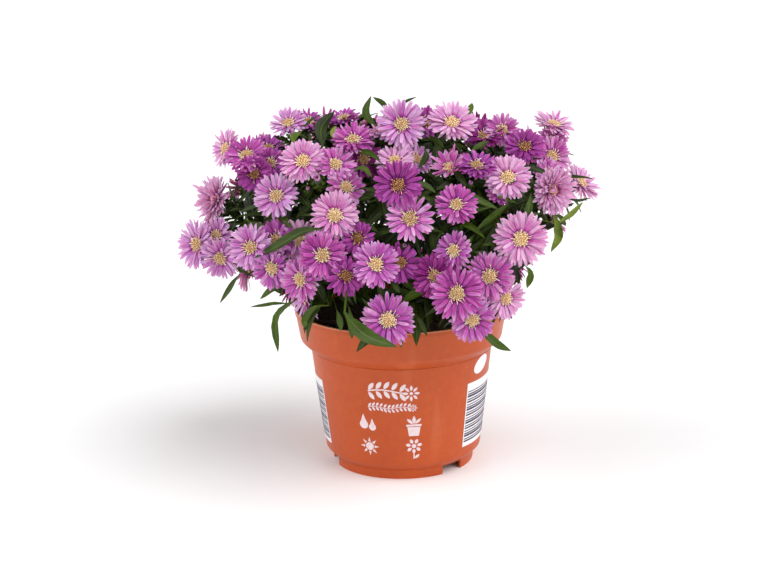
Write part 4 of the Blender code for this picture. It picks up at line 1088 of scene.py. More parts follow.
@cache
def leaf_finish():
    colours = bpy.context.scene.aster_leaves
    f = Finish("aster_leaf", Specular_IOR_Level=0.18)
    reach, across, own = map(f.quality, ("reach", "across", "own"))
    blotch = f.clouds(120, 3.0)
    fine = f.clouds(900, 3.0)
    rib = (1 - across.size()).over(0.86, 1.0)
    veins = ((reach * 70 - across.size() * 9).sine() * 0.5 + 0.5) * (1 - rib)
    shade = (own * 0.75 + (blotch - 0.5) * 0.5 + (fine - 0.5) * 0.25 + veins * 0.05).held()
    body = f.ramp(shade, (0, 0.55, 1), colours.dark, colours.middle, colours.pale)
    f.give(Base_Color=f.mix(rib * 0.40, body, srgb(112, 130, 70)), Roughness=0.32 + fine * 0.20)
    return f.bump(veins * 0.4 + fine * 0.35 + (1 - rib) * 0.4, 0.4, 0.0003)


@cache
def stem_finish():
    f = Finish("aster_stem", Roughness=0.5, Specular_IOR_Level=0.4)
    reach = f.quality("reach")
    fibres = f.clouds(420, 3.0, (1, 1, 0.2))
    shade = ((fibres - 0.5) * 0.8 + reach * 0.6 + 0.1).held()
    f.give(Base_Color=f.ramp(shade, (0, 0.4, 1), srgb(40, 30, 22), srgb(38, 46, 22), srgb(88, 110, 50)))
    return f.bump(fibres, 0.4, 0.0002)


def compost_finish():
    f = Finish("moist_compost", Roughness=0.92, Specular_IOR_Level=0.25)
    own = f.quality("own")
    coarse, fine = f.clouds(260, 4.0), f.clouds(1400, 4.0)
    shade = (coarse * 0.5 + fine * 0.4 + own * 0.42 - 0.22).held()
    browns = srgb(20, 14, 11), srgb(58, 42, 31), srgb(112, 82, 58), srgb(184, 146, 108)
    f.give(Base_Color=f.ramp(shade, (0, 0.40, 0.72, 1), *browns))
    return f.bump(coarse * 0.5 + fine * 0.5, 0.8, 0.0008)


def pot_finish():
    colours = bpy.context.scene.aster_pot
    f = Finish("terracotta_plastic", Specular_IOR_Level=0.42)
    cloud, mottle = f.clouds(22, 3.0), f.clouds(260, 4.0)
    grain, specks = f.clouds(1300), f.clouds(520, 1.0)
    flow_streaks_and_sheen = f.clouds(60, 3.0, (1, 1, 0.12))
    shade = ((cloud - 0.5) * 0.9 + (mottle - 0.5) * 0.7 + 0.5).held()
    body = f.mix(shade, colours.shade, colours.colour)
    body = f.mix(specks.over(0.76, 0.82) * 0.35, body, srgb(226, 150, 118))
    # Lighter vertical streaks: partly streaks in the plastic, partly painted sheen of the studio lights
    body = f.mix(flow_streaks_and_sheen.over(0.60, 0.80) * 0.16, body, srgb(222, 138, 100))
    # Painted highlight: a lighter band along the lip's top edge, in place of the light caught on the rim
    height = f.node("ShaderNodeSeparateXYZ", None, {0: f.place()}, output="Z")
    edge = height.over(POT_HEIGHT - 0.8 * MM, POT_HEIGHT - 0.1 * MM) * (0.25 + flow_streaks_and_sheen)
    body = f.mix(edge.held(), body, srgb(240, 160, 118))
    f.give(Base_Color=body, Roughness=0.30 + cloud * 0.10 + flow_streaks_and_sheen * 0.10)
    return f.bump(grain * 0.4 + mottle * 0.6, 0.14, 0.0003)


def ink_finish():
    f = Finish("white_ink", Specular_IOR_Level=0.35)
    worn = f.clouds(700, 4.0)
    colour = f.mix(worn.over(0.52, 0.80) * 0.5, srgb(230, 212, 216), srgb(206, 128, 100))
    f.give(Base_Color=colour, Roughness=0.42 + worn * 0.15)
    return f.bump(worn, 0.1, 0.0001)


def label_finish():
    f = Finish("white_label", Specular_IOR_Level=0.4)
    cloud, grain = f.clouds(90, 3.0), f.clouds(1600)
    f.give(Base_Color=f.mix(cloud, srgb(226, 222, 228), srgb(244, 242, 244)), Roughness=0.40 + grain * 0.15)
    return f.bump(grain, 0.1, 0.0001)


def plain_finish(name, specular, clouds, first, second, rough, more, strength, distance):
    """Two colours mixed in clouds, which roughen and raise the surface a little."""
    f = Finish(name, Specular_IOR_Level=specular)
    cloud = f.clouds(*clouds)
    f.give(Base_Color=f.mix(cloud, first, second), Roughness=rough + cloud * more)
    return f.bump(cloud, strength, distance)


QUALITIES = ("reach", "across", "depth", "violet", "age", "own")


def linked(name, data):
    """An object of a mesh, lamp or lens, in the scene."""
    made = bpy.data.objects.new(name, data)
    bpy.context.scene.collection.objects.link(made)
    return made


class Shape:
    """The points and faces of a piece as it grows, with the points' qualities and the faces' finishes."""

    def __init__(self):
        self.count = 0
        self.points = []
        self.faces = []
        self.finishes = []
        self.values = {name: [] for name in QUALITIES}

    def add(self, points, faces, finish=0, **values):
        self.faces += [tuple(i + self.count for i in face) for face in faces]
        self.finishes += [finish] * len(faces)
        self.points.append(np.asarray(points, dtype=float))
        self.count += len(points)
        for name in QUALITIES:
            self.values[name].append(np.broadcast_to(np.asarray(values.get(name, 0.0), float), len(points)))

    def add_blade(self, points, rows, **values):
        across = np.tile([*ACROSS, 0], len(rows))
        self.add(points, blade_faces(len(rows)), reach=np.repeat(rows, 6), across=across, **values)

    def piece(self, name, finishes, slot, nodes=(), crease=40):
        """Makes the piece, which rides on the body and stands for its nodes."""
        data = bpy.data.meshes.new(name)
        data.from_pydata(np.concatenate(self.points).tolist(), [], self.faces)
        for finish in finishes:
            data.materials.append(finish)
        data.polygons.foreach_set("material_index", self.finishes)
        for quality, values in self.values.items():
            values = np.concatenate(values).astype(np.float32)
            if np.ptp(values) > 0 or values[0]:
                data.attributes.new(quality, "FLOAT", "POINT").data.foreach_set("value", values)
        data.polygons.foreach_set("use_smooth", [True] * len(self.faces))
        data.set_sharp_from_angle(angle=radians(crease))
        data.update()
        made = linked(name, data)
        made.location = -ORIGIN
        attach(made, "root")
        if nodes:
            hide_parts(*nodes)


@cache
def blade_faces(rows):
    """The faces of a closed strip with five points above and one below in each row."""
    faces = []
    for a in range(0, 6 * rows - 6, 6):
        b = a + 6
        faces += [(a + k, b + k, b + k + 1, a + k + 1) for k in range(4)]
        faces += [(a, a + 5, b + 5, b), (a + 5, a + 4, b + 4, b + 5)]
    return faces + [(0, 1, 2, 3, 4, 5), tuple(range(6 * rows - 1, 6 * rows - 7, -1))]


ACROSS = np.array((-1.0, -0.5, 0.0, 0.5, 1.0))


def blade(centres, sides, ups, halves, heights, thick):
    """A thin closed strip along its centre line, with half widths, and heights as shares of those."""
    points = np.empty((len(centres), 6, 3))
    offset = halves[:, None] * ACROSS[None]
    points[:, :5] = centres[:, None] + sides[:, None] * offset[..., None]
    points[:, :5] += ups[:, None] * (heights * halves[:, None])[..., None]
    points[:, 5] = points[:, 2] - ups * thick
    return points.reshape(-1, 3)


def unit_rows(rows):
    return rows / np.maximum(np.linalg.norm(rows, axis=1, keepdims=True), 1e-12)


def turned(sides, ups, turns):
    """Two directions turned about the third, row by row."""
    c, s = np.cos(turns)[:, None], np.sin(turns)[:, None]
    return sides * c + ups * s, ups * c - sides * s


def petal(draw, start, reach, width, rise, curl, sway, twist):
    """A petal's points with its root at the middle: out along X, up along Z."""
    rows = np.array(PETAL_ROWS)
    slope = rise + curl * (rows[1:] + rows[:-1]) / 2
    length = (reach - start) / max(0.35, float(np.mean(np.cos(slope))))
    step = np.diff(rows) * length
    centres = np.zeros((len(rows), 3))
    centres[1:, 0] = np.cumsum(step * np.cos(slope))
    centres[1:, 2] = np.cumsum(step * np.sin(slope))
    centres[:, 0] += start
    centres[:, 1] = sway * length * rows**2
    angle = rise + curl * rows
    up = np.stack([-np.sin(angle), np.zeros(len(rows)), np.cos(angle)], 1)
    side, up = turned(np.tile((0.0, 1.0, 0.0), (len(rows), 1)), up, twist * rows)
    cup = draw.normal(0.10, 0.26)
    groove = 0.10 + 0.08 * draw.random()
    heights = np.tile(cup * ACROSS**2 + groove * np.array((0, 1, 0, 1, 0)), (len(rows), 1))
    heights += draw.normal(0, 0.05, heights.shape)
    made = blade(centres, side, up, np.array(PETAL_WIDTHS) * width / 2, heights, 0.22 * MM)
    made[-4, 0] -= (0.02 + 0.05 * draw.random()) * length * (draw.random() < 0.5)
    return made


def petal_rings(bloom, look, settings):
    """For each ring of petals: their number, reach, rise and width."""
    _, _, _, fullness, lift = look
    rings = [(0.43, 1.00, 0.16 + lift, 1.0), (0.35, 0.96, 0.31 + lift, 0.94), (0.22, 0.82, 0.54 + lift, 0.80)]
    if fullness > 1.3:
        rings += [(0.20, 0.68, 0.84, 0.85), (0.14, 0.52, 1.10, 0.8), (0.09, 0.40, 1.35, 0.8)]
    count = settings.petals * fullness * bloom.radius / (13 * MM)
    return [(round(count * part), far, rise, settings.petal_width * wide) for part, far, rise, wide in rings]


def to_bloom(bloom, points):
    """Points about a bloom's middle, out along X and up along Z, put in its place."""
    east, north = frame_of(bloom.face, bloom.spin)
    axes = np.array([east, north, bloom.face])
    return np.asarray(points) @ axes + np.array(bloom.place)


def turn_about(points, turn):
    c, s = cos(turn), sin(turn)
    return np.asarray(points) @ np.array([[c, s, 0], [-s, c, 0], [0, 0, 1]])


def add_petals(shape, bloom, look, draw, settings):
    depth, violet, _, _, _ = look
    start = bloom.radius * settings.disc * 0.72
    for ring, (count, far, rise, width) in enumerate(petal_rings(bloom, look, settings)):
        count = max(count, 3)
        for k in range(count):
            turn = tau * (k + 0.5 * ring + draw.normal(0, 0.10)) / count
            sector = int(turn / tau * len(bloom.lengths)) % len(bloom.lengths)
            kept = 1 - 0.45 * (1 - bloom.lengths[sector])
            reach = bloom.radius * far * kept * (1 + float(np.clip(draw.normal(0, 0.035), -0.10, 0.05)))
            made = petal(
                draw, start, reach, width * (0.85 + 0.3 * draw.random()), rise + draw.normal(0, 0.07),
                draw.normal(-0.10, 0.16), draw.normal(0, 0.05), draw.normal(0, 0.22),
            )
            made[:, 2] += (0.2 + 0.35 * ring) * MM
            made = to_bloom(bloom, turn_about(made, turn))
            shape.add_blade(made, PETAL_ROWS, depth=depth, violet=violet, own=draw.random())


FLORET_FACES = [(k, (k + 1) % 5, 5 + (k + 1) % 5, 5 + k) for k in range(5)]
FLORET_FACES += [(5 + k, 5 + (k + 1) % 5, 10) for k in range(5)]


def dome(share, height):
    return height * (1 - share**2) ** 0.8


def add_disc(shape, bloom, look, draw, settings):
    """A dome of florets on a cushion, and the curled styles that stand out of it."""
    age = look[2]
    radius = bloom.radius * settings.disc
    height = (2.3 - 0.7 * age) * MM
    rings = ((0.0, -1.0), (0.9, -0.9), (1.0, 0.0), (0.8, dome(0.8, 1)), (0.45, dome(0.45, 1)), (0, 1))
    points, faces = lathe([(r * radius, 0.3 * MM + z * height * 0.9) for r, z in rings], 12)
    shape.add(to_bloom(bloom, points), faces, 1, reach=0.35, age=age)
    gap = radius * sqrt(pi / settings.florets)
    for k in range(settings.florets):
        share = sqrt((k + 0.5) / settings.florets)
        turn = k * SPIRAL_TURN
        out = share * radius
        foot = np.array((out * cos(turn), out * sin(turn), 0.1 * MM + dome(share, height)))
        foot += draw.normal(0, 0.16, 3) * gap
        lean = np.array((foot[0], foot[1], 1.4 * radius * (1.2 - share)))
        lean /= np.linalg.norm(lean)
        cross = np.cross(lean, (0.3, 0.2, 0.9))
        cross /= np.linalg.norm(cross)
        other = np.cross(lean, cross)
        tall = (0.5 + 0.5 * share + 0.6 * draw.random()) * MM * (1 - 0.25 * age)
        angles = np.arange(5) * tau / 5 + draw.random()
        ring = np.cos(angles)[:, None] * cross + np.sin(angles)[:, None] * other
        low = foot + ring * gap * 0.46
        high = foot + lean * tall + ring * gap * (0.34 + 0.20 * share + 0.14 * draw.random())
        made = np.vstack([low, high, foot + lean * (tall + (0.45 - 0.75 * share) * MM)])
        reach = [0.0] * 5 + [0.42 + 0.25 * share] * 5 + [0.7 + 0.5 * draw.random()]
        shape.add(to_bloom(bloom, made), FLORET_FACES, 1, reach=reach, age=age)
    add_styles(shape, bloom, age, radius, height, draw)


def add_styles(shape, bloom, age, radius, height, draw):
    count = round(46 - 20 * age)
    for k in range(count):
        turn = tau * (k + 0.6 * draw.random()) / count
        share = 0.52 + 0.48 * ((k * 0.618) % 1) ** 0.7
        out = level(turn)
        across = Vector((-out.y, out.x, 0))
        start = out * share * radius + upward(dome(share, height))
        tall = (1.1 + 1.4 * draw.random()) * MM
        lean = 0.25 + 0.75 * draw.random()
        lead = start + (out * lean + across * draw.normal(0, 0.25)) * tall + upward(tall * 0.85)
        tip = lead + (out * draw.normal(0.35, 0.25) + across * draw.normal(0, 0.32)) * tall
        tip.z -= 0.25 * tall * draw.random()
        path = [bezier(start, start.lerp(lead, 0.6), lead, tip, t) for t in (0, 0.4, 0.75, 1.0)]
        points, faces = tube(path, [r * MM for r in (0.14, 0.14, 0.175, 0.112)], 3)
        shape.add(to_bloom(bloom, points), faces, 2, reach=np.repeat((0.0, 0.4, 0.8, 1.0), 3), age=age)


def look_of(index):
    if index < len(LOOKS_SEEN):
        return LOOKS[LOOKS_SEEN[index]]
    return LOOKS[LOOKS_UNSEEN[index % len(LOOKS_UNSEEN)]]


@cache
def plant():
    """The grown plant, with its blooms numbered as they were placed."""
    sprays, stems = grow_plant()
    blooms = [b for spray in sprays for b in spray.blooms]
    blooms.sort(key=lambda b: (b.home - SIGHT_TARGET).length)
    order = {min(blooms, key=lambda b: (b.home - seen.home).length): n for n, seen in enumerate(seen_blooms())}
    for bloom in blooms:
        order.setdefault(bloom, len(order))
    return sprays, stems, order


def smooth_path(points, steps):
    """A smooth line through the points, with a number of steps in each stretch."""
    made = []
    for before, a, d, after in zip(points[:1] + points, points, points[1:], points[2:] + points[-1:]):
        third = (d - a).length
        lead, tail = unit(d - before) * third / 3, unit(after - a) * third / 3
        made += [bezier(a, a + lead, d - tail, d, k / steps) for k in range(steps)]
    return made + [points[-1]]


def line_length(line):
    return sum((b - a).length for a, b in zip(line, line[1:]))


def add_tube(shape, path, first, last, sides, finish, **values):
    """A stem through the points of a path, with its radius at each end."""
    points, faces = tube(path, np.linspace(first, last, len(path)), sides)
    shape.add(points, faces, finish, reach=np.repeat(np.linspace(0, 1, len(path)), sides), **values)


def lay_leaf(shape, spots, up, rows, halves, draw, twist, fold, rough, thick, own):
    """A blade along its middle line, twisted towards its tip and folded about its midrib."""
    heading = unit_rows(np.gradient(spots, axis=0))
    sides = unit_rows(np.cross(heading, np.tile(up, (len(rows), 1))))
    ups = np.cross(sides, heading)
    if twist:
        sides, ups = turned(sides, ups, np.array(rows) * draw.normal(0, twist))
    heights = np.tile((fold[0] + fold[1] * draw.random()) * np.abs(ACROSS) ** 1.3, (len(rows), 1))
    heights += draw.normal(0, rough, heights.shape)
    shape.add_blade(blade(spots, sides, ups, halves, heights, thick), rows, own=own)


def add_leaf(shape, root, tip, width, normal, droop, draw, own, rows=LEAF_ROWS, widths=LEAF_WIDTHS):
    """A leaf that bows up by droop and turns its tip down."""
    reach = tip - root
    side = unit(reach.cross(normal))
    up = unit(side.cross(reach))
    lead = root.lerp(tip, 0.5) + up * 2 * droop + side * draw.normal(0, 0.05) * reach.length
    spots = np.array([root * (1 - s) ** 2 + lead * (2 * s * (1 - s)) + tip * s * s for s in rows])
    halves = np.array(widths) * width / 2
    lay_leaf(shape, spots, up, rows, halves, draw, 0.30, (0.26, 0.20), 0.035, 0.35 * MM, own)


SCALE = (0.0, 0.3, 0.65, 1.0), (0.7, 1.0, 0.7, 0.08)
TWIG_LEAF = (0.0, 0.2, 0.45, 0.7, 0.9, 1.0), (0.3, 0.8, 1.0, 0.75, 0.3, 0.04)


def around(bloom, turn):
    """The direction square to a bloom's face at a turn from its first petal."""
    east, north = frame_of(bloom.face, bloom.spin)
    return east * cos(turn) + north * sin(turn)


def add_cup(shape, bloom, profile, size):
    points, faces = lathe([(r * size, z * size) for r, z in profile], 10)
    shape.add(to_bloom(bloom, points), faces, 1, reach=0.6, own=0.5)


def add_calyx(shape, bloom, draw):
    """The green cup under a bloom, with two rings of narrow scales."""
    add_cup(shape, bloom, ((0, -7.2), (0.9, -7), (1.3, -5.6), (2.4, -4), (3, -2.4), (3.2, -1), (0, -0.9)), MM)
    for ring, (count, low, long, spread) in enumerate(((9, -4.6, 4.6, 0.34), (8, -3.0, 3.9, 0.62))):
        for k in range(count):
            out = around(bloom, tau * (k + 0.5 * ring + 0.3 * draw.random()) / count)
            root = bloom.place + bloom.face * low * MM + out * (1.8 + 0.8 * ring) * MM
            tip = root + unit(bloom.face + out * (spread + draw.normal(0, 0.12))) * long * MM
            own = 0.35 + 0.3 * draw.random()
            add_leaf(shape, root, tip, 1.5 * MM, out, 0.3 * MM, draw, own, *SCALE)


def inside_crown(place, share):
    off = place - CROWN_CENTRE
    return sum((o / r) ** 2 for o, r in zip(off, CROWN_RADII)) < share**2


def clear_of_pot(root, tip):
    for share in (0.4, 0.7, 1.0):
        p = root.lerp(tip, share)
        across = hypot(p.x, p.y)
        if across < RIM_RADIUS + 4 * MM and p.z < (SOIL_HEIGHT if across < 50 * MM else POT_HEIGHT) + 4 * MM:
            return False
    return True


def fill_lines(stem):
    """The lines of a stem that bear leaves: its own, and its stalks."""
    return [smooth_path(line, 6) for line in [stem.path[1:]] + [line[:-1] for _, line in stem.lines]]


def grow_fill(shape, stem, heads, settings, draw):
    """Leaves at an even turn up every stem and stalk, clear of the blooms."""
    turn = draw.random() * 6.28
    for line in fill_lines(stem):
        steps = max(2, int(line_length(line) / settings.spacing))
        for k in range(steps):
            share = (k + 0.5 + 0.4 * draw.random()) / steps
            root = along(line, share)
            heading = unit(along(line, min(1, share + 0.05)) - along(line, max(0, share - 0.05)))
            if root.z < SOIL_HEIGHT + 3 * MM:
                continue
            turn += SPIRAL_TURN
            east, _ = frame_of(heading, turn)
            out = unit(root - CROWN_ROOT + upward(6 * MM))
            way = unit(east + heading * 0.55 + out * 0.25 + upward(0.12))
            normal = unit(heading * 0.8 + out * 0.4 + upward(0.3))
            near = [tree for tree, b in heads if (b.place - root).length < 50 * MM]
            for shrink in (1.0, 0.7, 0.48):
                long = settings.length * (0.75 + 0.5 * draw.random()) * shrink
                tip = root + way * long - upward(0.10 * long)
                wide = settings.width * (0.75 + 0.4 * draw.random()) * shrink**0.5
                if not inside_crown(tip, 1.0) or not clear_of_pot(root, tip):
                    continue
                if not crosses(leaf_mesh(root.lerp(tip, 0.12), tip, wide, normal, 0.12 * long), near):
                    tip = within_outline(tip, 0)
                    # Painted shade: these fill leaves, deep in the crown, take darker tones than the outer
                    # leaves
                    add_leaf(shape, root, tip, wide, normal, 0.12 * long, draw, 0.02 + 0.42 * draw.random())
                    break


@cache
def holds():
    """Points along every stem and stalk that leaves and buds can grow from."""
    lines = [line for stem in plant()[1] for line in fill_lines(stem)]
    made = [along(line, k / 24) for line in lines for k in range(6, 24)]
    return [spot for spot in made if spot.z > SOIL_HEIGHT + 4 * MM]


def nearest_line(target, back):
    """The point of a stem or stalk nearest to the target's sight line, a little behind it."""
    line = unit(target - SIGHT_EYE)

    def cost(hold):
        off = hold - target
        depth = off.dot(line)
        return (off - line * depth).length + 0.45 * abs(depth - back)

    return min(holds(), key=cost)


def on_sights(pixels, layer):
    """Places on the pixels' sight lines, near a layer of the crown, that step gently in depth."""
    spots = []
    for pixel in pixels:
        eye, line = sight_line(*pixel)
        depth = on_crown(*pixel, layer)[1]
        if spots:
            before = (spots[-1] - eye).dot(-SIGHT_BACK)
            step = 0.6 * (spots[-1] - eye - line * before).length
            depth = min(max(depth, before - step), before + step)
        spots.append(eye + line * depth)
    return spots


def drawn_there(tip):
    """Whether a leaf with this tip is one of those in LEAVES_DRAWN."""
    near = any(math.dist(seen_at(tip)[:2], leaf[-2:]) < 7 for leaf in LEAVES_DRAWN)
    return near and (tip - SIGHT_TARGET).dot(SIGHT_BACK) > 0


def add_drawn_leaf(shape, entry, draw):
    """A leaf through pixels of the photograph, from the stalk nearest to its root."""
    width, tone_and_painted_light, layer, *pixels = entry
    spots = on_sights(list(zip(pixels[::2], pixels[1::2])), layer)
    hold = nearest_line(spots[0], 12 * MM)
    gap = (hold - spots[0]).length
    rows, widths = LEAF_ROWS, LEAF_WIDTHS
    if gap > 4 * MM:
        path = smooth_path([hold] + spots, 8)
        stalk = min(0.45, gap / line_length(path))
        rows = [0.0] + [stalk + (1 - stalk) * r for r in rows]
        widths = (0.10,) + widths
    else:
        path = smooth_path([hold] + spots[1:], 8)
    centres = np.array([along(path, share) for share in rows])
    up = unit(SIGHT_BACK + upward(0.9) + SIGHT_RIGHT * draw.normal(0, 0.25))
    depth = (spots[-1] - SIGHT_TARGET - SIGHT_BACK * SIGHT_RANGE).dot(-SIGHT_BACK)
    halves = np.array(widths) * width * depth / SIGHT_FOCAL_PX / 2
    # The tone carries painted light and shade as well as the leaf's own colour
    lay_leaf(shape, centres, up, rows, halves, draw, 0, (0.22, 0.16), 0.03, 0.4 * MM, tone_and_painted_light)


def add_bud(green, tips, entry, draw):
    """A closed bud: its stalk, its cup of scales, and furled petal tips."""
    column, row, width, right, up = entry
    place = on_crown(column, row, 3.3 if width > 10 else 0.6)[0]
    radius = width / 2 * 0.54 * MM
    face = facing(right, up)
    bloom = Bloom(place, face, radius * 2.0, draw.random() * 6.28)
    hold = nearest_line(place, 14 * MM)
    foot = place - face * radius * 2.4
    lead = foot - face * 6 * MM
    stalk = [bezier(hold, hold.lerp(lead, 0.5), lead, foot, k / 8) for k in range(9)]
    add_tube(green, stalk, 0.75 * MM, 0.6 * MM, 6, 1)
    profile = ((0, -2.5), (0.35, -2.4), (0.8, -1.7), (1, -0.7), (0.85, 0.3), (0.5, 0.6), (0, 0.7))
    add_cup(green, bloom, profile, radius)
    for ring, k in product(range(3), range(7)):
        out = around(bloom, tau * (k + 0.5 * ring) / 7)
        root = place + face * radius * (-2.1 + 0.7 * ring) + out * radius * (0.62 + 0.16 * ring)
        tip = root + (face * 1.5 + out * (0.42 - 0.18 * ring)) * radius
        own = 0.4 + 0.3 * draw.random()
        add_leaf(green, root, tip, radius * 0.85, out, 0.2 * radius, draw, own, *SCALE)
    for k in range(11):
        reach = radius * (0.62 + 0.2 * draw.random())
        made = petal(draw, radius * 0.25, reach, radius * 0.5, 1.25, 0.35, 0.05, 0.1)
        made = to_bloom(bloom, turn_about(made, tau * k / 11))
        tips.add_blade(made, PETAL_ROWS, depth=0.10 + 0.35 * draw.random(), violet=0.3, own=draw.random())


def add_twig_leaves(shape, line, bloom, near, draw):
    """The small leaves close under a bloom, clear of its neighbours."""
    path = smooth_path(line[-3:-1], 6)
    heading = unit(path[-1] - path[0])
    turn = draw.random() * 6.28
    for k in range(7):
        root = along(path, 0.22 + 0.11 * k)
        turn += SPIRAL_TURN
        east, _ = frame_of(heading, turn)
        way = unit(east + heading * (0.25 + 0.35 * draw.random()))
        for long in (19 * MM, 13 * MM, 8 * MM):
            long *= 0.8 + 0.45 * draw.random()
            tip = root + way * long
            rise = (tip - bloom.place).dot(bloom.face)
            tip = within_outline(tip - bloom.face * max(0, rise + 0.5 * MM), 0)
            if not clear_of_pot(root, tip) or not inside_crown(tip, 1.04):
                continue
            width = (2.6 + 1.6 * draw.random()) * MM * (long / (19 * MM)) ** 0.4
            if not crosses(leaf_mesh(root.lerp(tip, 0.2), tip, width, heading, 0.1 * long), near):
                own = 0.2 + 0.5 * draw.random()
                add_leaf(shape, root, tip, width, heading, 0.1 * long, draw, own, *TWIG_LEAF)
                break


def body_radius(height):
    """The radius of the pot's outside at a height on its body or collar."""
    heights = (BODY_FOOT_HEIGHT, BODY_TOP_HEIGHT - 0.3 * MM, COLLAR_FOOT_HEIGHT, POT_HEIGHT)
    radii = (BODY_FOOT_RADIUS, BODY_TOP_RADIUS, COLLAR_FOOT_RADIUS, RIM_RADIUS)
    return float(np.interp(height, heights, radii))


def on_pot(column, row):
    """The bearing from the front and the height where a pixel's sight line meets the pot."""
    eye, line = sight_line(column, row)
    depth = 0.93
    for _ in range(40):
        place = eye + line * depth
        depth += (hypot(place.x, place.y) - body_radius(place.z)) * 0.7
    place = eye + line * depth
    return math.atan2(place.x, -place.y), place.z


def wrapped(outline, bearing, height, lift):
    """Flat points in metres, right and up from a spot on the pot, laid on its surface."""
    made = []
    for u, v in outline:
        z = height + v
        radius = body_radius(z) + lift
        turn = bearing + u / body_radius(height)
        made.append((radius * sin(turn), -radius * cos(turn), z))
    return made



def add_layer(shape, spots, faces, bearing, height, lift, finish=0):
    """Flat points laid on the pot twice, a layer of ink apart, with their faces."""
    top, bottom = (wrapped(spots, bearing, height, rise) for rise in (lift + INK, lift))
    shape.add(top + bottom, faces, finish)


def lay_band(shape, x0, x1, low, high, bearing, height, lift, finish):
    """A level strip laid round the pot, in millimetres right and up from a spot on it."""
    steps = max(2, round(abs(x1 - x0) / 2.5))
    columns = [(min(x0, x1) + abs(x1 - x0) * k / steps) * MM for k in range(steps + 1)]
    spots = [(u, v * MM) for u in columns for v in (low, high)]
    n = len(spots)
    faces = [(0, 1, n + 1, n), (n - 2, 2 * n - 2, 2 * n - 1, n - 1)]
    for a in range(0, n - 2, 2):
        faces += [(a, a + 2, a + 3, a + 1), (n + a + 1, n + a + 3, n + a + 2, n + a)]
        faces += [(a, n + a, n + a + 2, a + 2), (a + 1, a + 3, n + a + 3, n + a + 1)]
    add_layer(shape, spots, faces, bearing, height, lift, finish)


def print_shape(shape, loops, bearing, height):
    """Flat shapes cut from closed loops of points in millimetres and laid on the pot."""
    flat = bmesh.new()
    for loop in loops:
        flat.faces.new([flat.verts.new((u * MM, v * MM, 0)) for u, v in loop])
    bmesh.ops.triangulate(flat, faces=flat.faces[:])
    for _ in range(5):
        long = [e for e in flat.edges if e.calc_length() > 2.6 * MM]
        if long:
            bmesh.ops.subdivide_edges(flat, edges=long, cuts=1)
            bmesh.ops.triangulate(flat, faces=flat.faces[:])
    flat.verts.index_update()
    spots = [(v.co.x, v.co.y) for v in flat.verts]
    count = len(spots)
    faces = [[v.index for v in f.verts] for f in flat.faces]
    faces += [[i + count for i in reversed(f)] for f in faces]
    for edge in (e for e in flat.edges if e.is_boundary):
        loop = edge.link_loops[0]
        a, b = loop.vert.index, loop.link_loop_next.vert.index
        faces.append((b, a, a + count, b + count))
    flat.free()
    add_layer(shape, spots, faces, bearing, height, 0.02 * MM)


def placed(outline, x, y, turn):
    """Flat points turned, then moved."""
    c, s = cos(turn), sin(turn)
    return [(x + u * c - v * s, y + u * s + v * c) for u, v in outline]


def circle(x, y, radius, count=20, squash=1.0, turn=0.0):
    angles = [tau * k / count for k in range(count)]
    return placed([(radius * cos(a), radius * squash * sin(a)) for a in angles], x, y, turn)


def leaf_outline(x, y, length, width, turn):
    """A pointed leaf from its root at x, y."""
    edge = [(k / 7, width / 2) for k in range(7)] + [(1 - k / 7, -width / 2) for k in range(7)]
    return placed([(s * length, w * sin(pi * s) ** 0.8 if 0 < s < 1 else 0) for s, w in edge], x, y, turn)


def leaf_ring(x, y, count, first, out, length, width):
    """Pointed leaves all round a spot."""
    angles = [tau * k / count + first for k in range(count)]
    return [leaf_outline(x + out * cos(a), y + out * sin(a), length, width, a) for a in angles]


def bar(x0, y0, x1, y1, width):
    """A straight stroke."""
    dx, dy = x1 - x0, y1 - y0
    long = hypot(dx, dy)
    nx, ny = -dy / long * width / 2, dx / long * width / 2
    return [(x0 + nx, y0 + ny), (x0 - nx, y0 - ny), (x1 - nx, y1 - ny), (x1 + nx, y1 + ny)]


def sprig_loops(joints, leaf):
    """A level sprig: a stalk with a pair of leaves at each joint and a flower at its end."""
    step = leaf * 0.8
    spots = [((k - joints / 2) * step - leaf * 0.4, 0.2 * leaf * sin(k * 0.9)) for k in range(joints + 1)]
    loops = [bar(*a, *b, 0.14 * leaf) for a, b in zip(spots, spots[1:])]
    for (x, y), side in product(spots[:-1], (1, -1)):
        loops.append(leaf_outline(x + 0.4, y + 0.1 * leaf * side, leaf, 0.44 * leaf, 0.95 * side))
    x, y = spots[-1]
    x += 0.42 * leaf
    loops += leaf_ring(x, y, 8, 0, 0.28 * leaf, 0.6 * leaf, 0.28 * leaf)
    return loops + [circle(x, y, 0.17 * leaf, 14)]


def sun_loops():
    ray = [(2.9 * cos(0.27), -2.9 * sin(0.27)), (2.9 * cos(0.27), 2.9 * sin(0.27)), (5.4, 0)]
    return [circle(0, 0, 2.3)] + [placed(ray, 0, 0, k * pi / 4) for k in range(8)]


def drop_loops():
    loops = []
    for x, y, size in ((-2.1, 0.6, 1.0), (2.2, -0.6, 0.8)):
        angles = [radians(50 - 280 * k / 14) for k in range(15)]
        wide = 2.2 * size
        loops.append([(x, y + 4.6 * size)])
        loops[-1] += [(x + wide * cos(a), y - 0.9 * size + wide * sin(a)) for a in angles]
    return loops


def flower_loops():
    stalk = [bar(0, -2.6, 0, -5.2, 0.6), leaf_outline(0.3, -5.0, 3.2, 1.4, 0.7)]
    return [circle(0, 1.6, 1.1, 14)] + leaf_ring(0, 1.6, 7, 0.22, 1.5, 2.6, 1.7) + stalk


def pot_loops():
    loops = [[(-2.6, -5), (2.6, -5), (3.4, 0), (-3.4, 0)], [(-3.9, 0.4), (3.9, 0.4), (3.9, 1.5), (-3.9, 1.5)]]
    leaves = ((0, 4.4, 1.8, 1.57), (0.5, 4.2, 1.6, 0.75), (-0.5, 4.2, 1.6, 2.39))
    return loops + [leaf_outline(x, 1.8, length, width, turn) for x, length, width, turn in leaves]


